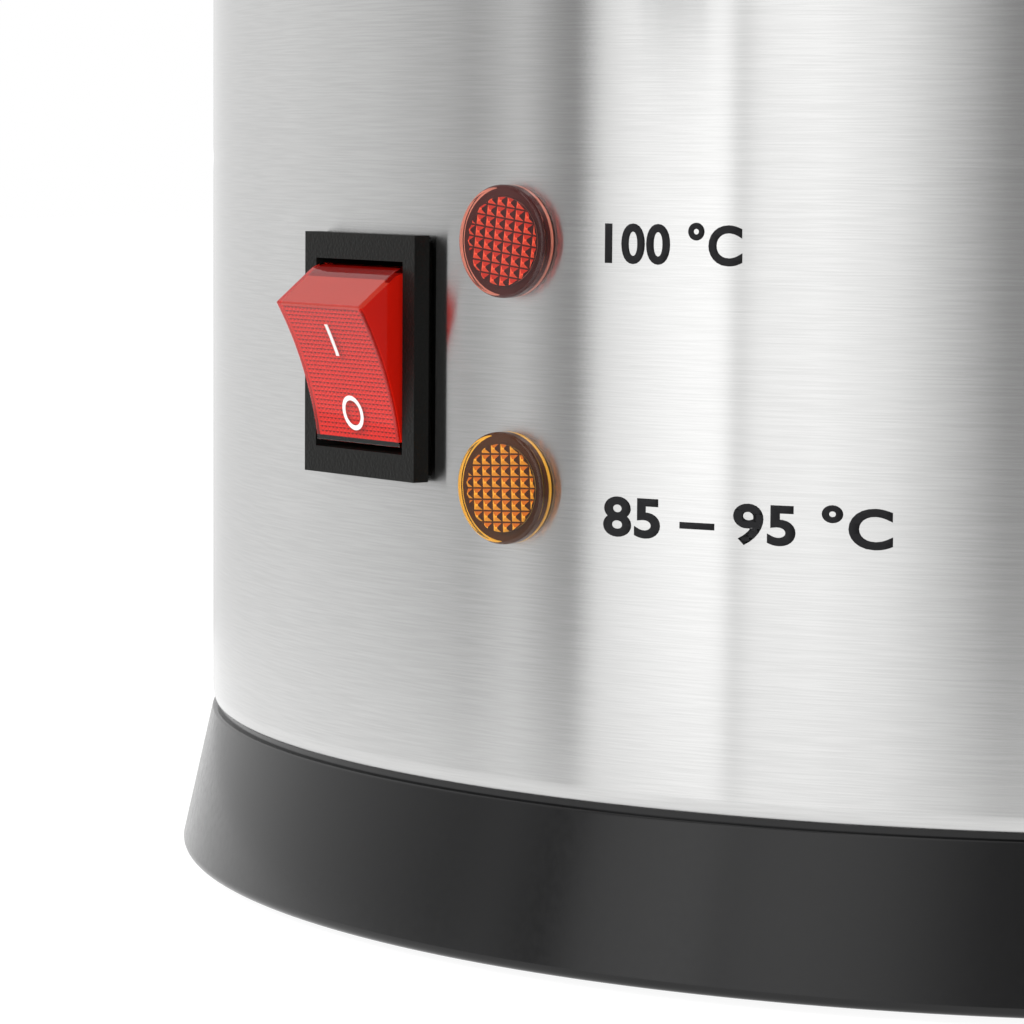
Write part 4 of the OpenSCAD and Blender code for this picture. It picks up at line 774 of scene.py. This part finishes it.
def rocker_core():
    """The red light spreader inside the clear skin, with painted light on the front of its upper end and painted
    shade behind it.
    """
    half = ROCKER_W / 2 - SKIN_SIDE
    mesh = prism(rocker_line(SKIN_FRONT, SKIN_END), -half, half, rocker_place())
    mesh.materials.append(CORE_RED)
    mesh.materials.append(CORE_PAINTED_LIGHT)
    mesh.materials.append(CORE_PAINTED_SHADE)
    inwards = rocker_place().inverted()
    # Faces that look up: painted light in front, painted shade towards the back.
    for face in mesh.polygons:
        if face.normal.z > 0.5:
            out = -(inwards @ face.center).y
            face.material_index = 1 if out > CORE_SHADE_OUT else 2
    smooth(mesh)
    return piece("rocker_core", mesh, "rocker_red", "rocker")


def rocker_grid():
    """The dimpled sheet on the front of the core, with the top facet of each dimple painted dark as shade."""
    columns = 20
    rows = 30
    dip = 0.16 * MM
    half = ROCKER_W / 2 - SKIN_SIDE - 0.4 * MM
    inset = SKIN_FRONT
    edge = ROCKER_R * 0.76
    lift = 0.17 * MM
    us = np.linspace(-half, half, columns + 1)
    vs = np.linspace(-edge, edge, rows + 1)
    points = [(u, -face_out(v, inset) - lift, v) for v in vs for u in us]
    faces = []
    painted_tones = []
    for j in range(rows):
        for i in range(columns):
            u = (us[i] + us[i + 1]) / 2
            v = (vs[j] + vs[j + 1]) / 2
            a = j * (columns + 1) + i
            b = a + columns + 1
            points.append((u, dip - face_out(v, inset) - lift, v))
            m = len(points) - 1
            faces += [(a, a + 1, m), (a + 1, b + 1, m), (b + 1, b, m), (b, a, m)]
            # Each dimple's top facet takes the painted shade.
            painted_tones += [0, 0, 1, 0]
    mesh = new_mesh(points, faces)
    mesh.materials.append(CORE_RED)
    mesh.materials.append(CORE_PAINTED_SHADE)
    mesh.polygons.foreach_set("material_index", painted_tones)
    mesh.transform(rocker_place())
    return piece("rocker_grid", mesh, "rocker_red", "rocker")


def mark_point(u, v, lift):
    """A point a little off the rocker's face."""
    return Vector((u, -face_out(v) - lift, v))


def rocker_marks():
    """The raised I and O on the rocker's face."""
    lift = 0.03 * MM
    half = 0.33 * MM
    ring_outer = 2.3 * MM
    ring_inner = 1.68 * MM
    ring_squeeze = 0.97
    ring_v = -5.6 * MM
    rows = np.linspace(2.2 * MM, 6.7 * MM, 9)
    points = []
    for h in (lift, -lift):
        points += [mark_point(u, v, h) for v in rows for u in (-half, half)]
    n = 2 * len(rows)
    faces = []
    for i in range(len(rows) - 1):
        a = 2 * i
        faces += [(a, a + 1, a + 3, a + 2), (n + a, n + a + 2, n + a + 3, n + a + 1)]
        faces += [(a, a + 2, n + a + 2, n + a), (a + 1, n + a + 1, n + a + 3, a + 3)]
    faces += [(0, n, n + 1, 1), (n - 2, n - 1, 2 * n - 1, 2 * n - 2)]
    bar = new_mesh(points, faces)
    steps = 64
    points = []
    faces = []
    for k in range(steps):
        a = 2 * math.pi * k / steps
        for r, h in ((ring_outer, lift), (ring_inner, lift), (ring_inner, -lift), (ring_outer, -lift)):
            u = r * ring_squeeze * math.cos(a)
            v = ring_v + r * math.sin(a)
            points.append(mark_point(u, v, h))
        m = (k + 1) % steps
        faces += [(4 * k + i, 4 * k + (i + 1) % 4, 4 * m + (i + 1) % 4, 4 * m + i) for i in range(4)]
    ring = new_mesh(points, faces)
    mesh = tidy_normals(joined([bar, ring]))
    mesh.transform(rocker_place())
    return piece("rocker_marks", mesh, "white_nylon", "rocker")


# ---- Lamps ----

def lens_outline():
    """Section of a lamp's cap: a disc with a round front edge, then a hollow barrel."""
    r = LAMP_R
    front = LAMP_PROUD
    inner = LAMP_BARREL_R - 0.3 * MM
    sunk = -0.3 * MM
    edge = 0.45 * MM
    return rounded([
        (0, front, 0), (r, front, edge), (r, sunk, 0), (LAMP_BARREL_R, sunk, 0),
        (LAMP_BARREL_R, -LAMP_BARREL_L, 0), (inner, -LAMP_BARREL_L, 0),
        (inner, front - LAMP_FRONT, 0.2 * MM), (0, front - LAMP_FRONT, 0),
    ], 8)


def lamp_cap(name, node, slot):
    """The clear cap, with its back cut to the shell's curve."""
    place = at_shell(LAMP_ANGLE, level(node)) @ OUTWARD
    mesh = revolve(lens_outline(), 128, place)
    body = rod(SHELL_R - FILM, level(node) - 20 * MM, level(node) + 20 * MM, segments=360)
    keep = rod(LAMP_BARREL_R, -LAMP_BARREL_L - 1 * MM, 0, place, 128)
    cutter = boolean(body, [keep])
    mesh = boolean(mesh, [cutter])
    smooth(mesh, 25)
    obj = piece(name, mesh, slot, replaces=[node])
    obj.visible_shadow = False
    return obj


def pyramid_sheet(pitch_u, pitch_v, count, tall):
    """Rows of pyramids with light and shade painted on by facet. Shades: 0 bright (painted light), 1 middle, 2
    dark (painted shade).
    """
    gap = 0.07 * pitch_u
    slope = 0.40 * pitch_u
    points = []
    faces = []
    shade = []
    for i in range(-count, count):
        for j in range(-count, count):
            k = len(points)
            for inset, h in ((0, 0), (gap, 0), (slope, tall)):
                low = Vector((i * pitch_u + inset, j * pitch_v + inset))
                high = Vector(((i + 1) * pitch_u - inset, (j + 1) * pitch_v - inset))
                points += [(low.x, low.y, h), (high.x, low.y, h), (high.x, high.y, h), (low.x, high.y, h)]
            # Gap floors take painted shade; a pyramid's lower side, its -X side and its top take painted light,
            # its +X side painted shade, its upper side the middle tone.
            for a, painted_tones in ((k, (2, 2, 2, 2)), (k + 4, (0, 2, 1, 0))):
                for m in range(4):
                    n = (m + 1) % 4
                    faces.append((a + m, a + n, a + 4 + n, a + 4 + m))
                    shade.append(painted_tones[m])
            faces.append((k + 8, k + 9, k + 10, k + 11))
            shade.append(0)
    mesh = new_mesh(points, faces)
    mesh.polygons.foreach_set("material_index", shade)
    return mesh


def lamp_pyramids(name, node, slot, painted_tones, lean):
    """The disc of small pyramids inside the cap's front, in lit and shaded copies of one colour that paint light
    and shade on it.
    """
    tall = 0.5 * MM
    pitch_u = 1.55 * MM
    pitch_v = 1.42 * MM
    under_front = 0.3 * MM
    sheet = pyramid_sheet(pitch_u, pitch_v, 5, tall)
    for tone in painted_tones:
        sheet.materials.append(tone)
    sheet.transform(Matrix.Rotation(math.radians(lean), 4, "Z"))
    work = bmesh.new()
    work.from_mesh(sheet)
    bmesh.ops.remove_doubles(work, verts=work.verts, dist=1e-6)
    made = bmesh.ops.extrude_edge_only(work, edges=[e for e in work.edges if e.is_boundary])
    down = [v for v in made["geom"] if isinstance(v, bmesh.types.BMVert)]
    bmesh.ops.translate(work, vec=(0, 0, -under_front), verts=down)
    bmesh.ops.contextual_create(work, geom=[e for e in work.edges if e.is_boundary])
    bmesh.ops.recalc_face_normals(work, faces=work.faces)
    work.to_mesh(sheet)
    work.free()
    mesh = boolean(sheet, [rod(PYRAMIDS_R, -0.2 * MM, 2 * MM, segments=96)], "INTERSECT")
    # Sides cut by the disc's edge take the painted shade.
    for face in mesh.polygons:
        if abs(face.normal.z) < 0.3:
            face.material_index = 2
    depth = LAMP_PROUD - under_front - tall
    mesh.transform(at_shell(LAMP_ANGLE, level(node)) @ OUTWARD @ Matrix.Translation((0, 0, depth)))
    return piece(name, mesh, slot)


def lamp_ring(name, node, slot, r_in, r_out, low, high, material):
    """A ring that is seen through the clear cap, in the caller's colour: the lamps give it a dark one for painted
    shade and a pale one for painted light.
    """
    outline = rounded([(r_in, low, 0), (r_out, low, 0), (r_out, high, 0.02 * MM), (r_in, high, 0)])
    mesh = revolve(outline, 96, at_shell(LAMP_ANGLE, level(node)) @ OUTWARD)
    smooth(mesh)
    obj = piece(name, mesh, slot, material=material)
    obj.visible_shadow = False
    return obj


def lamp(name, node, slot, bright, middle, dark, pale, lean):
    """One lamp: its cap, its pyramids with painted light and shade, and the dark ring of painted shade and the
    pale ring of painted light behind their edge.
    """
    lamp_cap(name + "_cap", node, slot)
    # Lit, middle and shaded copies of one colour: painted light and shade on the pyramids.
    painted_tones = [plastic(name + tag, colour, 0.35, 400, 0, 0.2)
             for tag, colour in (("_bright", bright), ("_middle", middle), ("_dark", dark))]
    lamp_pyramids(name + "_pyramids", node, slot, painted_tones, lean)
    lamp_ring(name + "_painted_shade_ring", node, slot, *PAINTED_SHADE_RING, painted_tones[2])
    # The pale ring paints on the light that comes into the cap's rim.
    glow = plastic(name + "_painted_light", pale, 0.35, 400, 0, 0.2)
    lamp_ring(name + "_painted_light_ring", node, slot, *PAINTED_LIGHT_RING, glow)


def lamps():
    # Each lamp: the pyramids' painted-light, middle and painted-shade colours, the pale ring's painted-light
    # colour, and the pyramids' turn.
    lamp("heat_lamp", LAMP_NODES[0], "lens_red",
         (0.80, 0.16, 0.08), (0.36, 0.03, 0.015), (0.035, 0.006, 0.006), (0.50, 0.30, 0.24), -7)
    lamp("warm_lamp", LAMP_NODES[1], "lens_amber",
         (0.85, 0.50, 0.10), (0.42, 0.13, 0.012), (0.04, 0.012, 0.006), (0.70, 0.45, 0.10), 3)


# ---- Words on the shell ----

INK = plastic("ink_black", (0.010, 0.010, 0.011), 0.5, 900, 0, 0.15)
INK_HEIGHT = 0.03 * MM


def decal(name, words, start, z, cap_height, width):
    """Printed words that start at an azimuth and run round the shell."""
    curve = bpy.data.curves.new(name, "FONT")
    curve.body = words
    curve.size = 1
    curve.offset = 0.030
    curve.space_character = 1.06
    curve.resolution_u = 6
    text = bpy.data.objects.new(name + "_text", curve)
    bpy.context.scene.collection.objects.link(text)
    bpy.context.view_layer.update()
    mesh = bpy.data.meshes.new_from_object(text.evaluated_get(bpy.context.evaluated_depsgraph_get()))
    bpy.data.objects.remove(text)
    co = np.array([v.co[:] for v in mesh.vertices])
    low = co.min(0)
    high = co.max(0)
    tall = high[1] - low[1]
    work = bmesh.new()
    work.from_mesh(mesh)
    fit = Matrix.Diagonal((width / (high[0] - low[0]), cap_height / tall, 1, 1))
    bmesh.ops.transform(work, matrix=fit @ Matrix.Translation((-low[0], -low[1], 0)), verts=work.verts)
    for i in range(1, int(width / MM)):
        geometry = work.verts[:] + work.edges[:] + work.faces[:]
        bmesh.ops.bisect_plane(work, geom=geometry, plane_co=(i * MM, 0, 0), plane_no=(1, 0, 0), dist=1e-7)
    bmesh.ops.triangulate(work, faces=work.faces)
    solid = bmesh.ops.extrude_face_region(work, geom=work.faces[:])
    raised = {v for v in solid["geom"] if isinstance(v, bmesh.types.BMVert)}
    for v in work.verts:
        a = math.radians(start) + v.co.x / SHELL_R
        r = SHELL_R + (INK_HEIGHT if v in raised else -FILM)
        v.co = (r * math.sin(a), -r * math.cos(a), z + v.co.y)
    bmesh.ops.recalc_face_normals(work, faces=work.faces)
    work.to_mesh(mesh)
    work.free()
    mesh.materials.clear()
    return piece(name, mesh, "black_bezel", material=INK)


# ---- Studio ----

# Panels round the urn as its metal sees them: (azimuth, share of the brightest panel)
STUDIO_WALL = [
    (-180, 0.45), (-110, 0.51), (-94, 0.50), (-68, 0.545), (-50, 0.48), (-38, 0.377), (-33.5, 0.313),
    (-27, 0.463), (-22.5, 0.25), (-19.2, 0.165), (-17.6, 0.64), (-15.5, 0.75), (-12, 0.855), (-8, 0.945),
    (-4, 1.0), (-1.95, 0.97), (-1.15, 0.34), (-0.4, 0.76), (0.6, 0.84), (7, 0.872), (14, 0.727),
    (20, 0.454), (25, 0.20), (50, 0.218), (80, 0.29), (110, 0.545), (150, 0.436), (180, 0.45),
]
WALL_LIGHT = 1.72


def seen_rays(tree):
    """One for camera, glossy and transmission rays, zero for the rest."""
    path = tree.nodes.new("ShaderNodeLightPath")
    total = path.outputs["Is Camera Ray"]
    for kind in ("Is Glossy Ray", "Is Transmission Ray"):
        add = tree.nodes.new("ShaderNodeMath")
        add.operation = "MAXIMUM"
        tree.links.new(total, add.inputs[0])
        tree.links.new(path.outputs[kind], add.inputs[1])
        total = add.outputs[0]
    return total


def studio_world():
    """White wherever it is seen, and a softer fill light on everything else."""
    world = bpy.data.worlds.new("studio")
    world.use_nodes = True
    bpy.context.scene.world = world
    tree = world.node_tree
    white = tree.nodes["Background"]
    white.inputs["Color"].default_value = (1, 1, 1, 1)
    tree.links.new(between(tree, seen_rays(tree), 0.5, 1.0), white.inputs["Strength"])


def studio_floor():
    """A pale floor that looks white and keeps the object's soft shadow."""
    floor = bpy.data.objects.new("studio_floor", block((-3, -3, -0.02), (3, 3, 0)))
    bpy.context.scene.collection.objects.link(floor)
    material = bpy.data.materials.new("studio_floor")
    material.use_nodes = True
    tree = material.node_tree
    tree.nodes.clear()
    matt = tree.nodes.new("ShaderNodeBsdfDiffuse")
    matt.inputs["Color"].default_value = (0.16, 0.16, 0.16, 1)
    glow = tree.nodes.new("ShaderNodeEmission")
    tree.links.new(between(tree, seen_rays(tree), 0.25, 0.92), glow.inputs["Strength"])
    both = tree.nodes.new("ShaderNodeAddShader")
    out = tree.nodes.new("ShaderNodeOutputMaterial")
    tree.links.new(matt.outputs[0], both.inputs[0])
    tree.links.new(glow.outputs[0], both.inputs[1])
    tree.links.new(both.outputs[0], out.inputs["Surface"])
    floor.data.materials.append(material)


def studio_wall():
    """A round wall of pale and darker panels that only shows in reflections."""
    radius = 0.30
    height = 0.7
    steps = 180
    points = []
    for k in range(steps):
        a = 2 * math.pi * k / steps
        points += [(radius * math.cos(a), radius * math.sin(a), z) for z in (0.0, height)]
    faces = [(2 * k, 2 * k + 1, (2 * k + 3) % (2 * steps), (2 * k + 2) % (2 * steps)) for k in range(steps)]
    wall = bpy.data.objects.new("studio_wall", new_mesh(points, faces))
    bpy.context.scene.collection.objects.link(wall)
    material = bpy.data.materials.new("studio_wall")
    material.use_nodes = True
    tree = material.node_tree
    tree.nodes.clear()
    where = tree.nodes.new("ShaderNodeTexCoord")
    parts = tree.nodes.new("ShaderNodeSeparateXYZ")
    tree.links.new(where.outputs["Object"], parts.inputs[0])
    back = tree.nodes.new("ShaderNodeMath")
    back.operation = "MULTIPLY"
    back.inputs[1].default_value = -1
    tree.links.new(parts.outputs["Y"], back.inputs[0])
    turn = tree.nodes.new("ShaderNodeMath")
    turn.operation = "ARCTAN2"
    tree.links.new(parts.outputs["X"], turn.inputs[0])
    tree.links.new(back.outputs[0], turn.inputs[1])
    share = tree.nodes.new("ShaderNodeMapRange")
    share.inputs["From Min"].default_value = -math.pi
    share.inputs["From Max"].default_value = math.pi
    tree.links.new(turn.outputs[0], share.inputs["Value"])
    ramp = tree.nodes.new("ShaderNodeValToRGB")
    stops = ramp.color_ramp.elements
    for angle, level in STUDIO_WALL:
        place = (angle + 180) / 360
        stop = stops[0] if place == 0 else stops[-1] if place == 1 else stops.new(place)
        stop.color = (level, level, level, 1)
    tree.links.new(share.outputs["Result"], ramp.inputs["Fac"])
    glow = tree.nodes.new("ShaderNodeEmission")
    glow.inputs["Strength"].default_value = WALL_LIGHT
    tree.links.new(ramp.outputs["Color"], glow.inputs["Color"])
    out = tree.nodes.new("ShaderNodeOutputMaterial")
    tree.links.new(glow.outputs[0], out.inputs["Surface"])
    wall.data.materials.append(material)
    wall.visible_camera = False
    wall.visible_diffuse = False
    wall.visible_shadow = False
    wall.visible_transmission = False


def studio_light(name, place, size, power):
    """A soft square light aimed at the urn that no reflection shows."""
    light = bpy.data.lights.new(name, "AREA")
    light.shape = "SQUARE"
    light.size = size
    light.energy = power
    obj = bpy.data.objects.new(name, light)
    bpy.context.scene.collection.objects.link(obj)
    obj.location = place
    aim = Vector((0, 0, 0.1)) - Vector(place)
    obj.rotation_euler = aim.to_track_quat("-Z", "Y").to_euler()
    obj.visible_glossy = False
    obj.visible_camera = False
    obj.visible_transmission = False


def studio_lights():
    studio_light("light_left", (-1.1, -1.0, 0.9), 0.9, 30)
    studio_light("light_top", (0.1, -0.3, 1.9), 1.4, 15)
    studio_light("light_front", (0.9, -1.5, 0.5), 0.9, 16)


def camera():
    """The photograph's view: from the front right, low down, close to the switch."""
    heading = math.radians(37.563)
    pitch = math.radians(5.317)
    roll = math.radians(0.401)
    right = Vector((math.cos(heading), math.sin(heading), 0))
    forward = Vector((-math.sin(heading), math.cos(heading), 0))
    up = Vector((0, 0, 1))
    ahead = forward * math.cos(pitch) - up * math.sin(pitch)
    above = forward * math.sin(pitch) + up * math.cos(pitch)
    side = right * math.cos(roll) + above * math.sin(roll)
    above = above * math.cos(roll) - right * math.sin(roll)
    data = bpy.data.cameras.new("camera")
    data.lens = 145.1
    data.sensor_width = 36
    data.clip_start = 0.01
    obj = bpy.data.objects.new("camera", data)
    bpy.context.scene.collection.objects.link(obj)
    turn = Matrix((side, above, -ahead)).transposed().to_4x4()
    place = Matrix.Translation((0.307681, -0.532920, 0.10605))
    obj.matrix_world = place @ turn
    bpy.context.scene.camera = obj


# ---- The scene ----

camera()
paint_cad_nodes()
outer_shell()
base_skirt()
foot_ring()
tank()
rim()
lid()
knob()
valve_spring()
soften(NODES["switch_housing"], width=0.6 * MM)
rocker_skin()
rocker_core()
rocker_grid()
rocker_marks()
lamps()
decal("mark_upper", "100 °C", start=3.6, z=89.6 * MM, cap_height=5.2 * MM, width=18.8 * MM)
decal("mark_lower", "85 – 95 °C", start=3.65, z=56.0 * MM, cap_height=5.3 * MM, width=38 * MM)

studio_world()
studio_floor()
studio_wall()
studio_lights()

bpy.context.scene.view_settings.view_transform = "Standard"
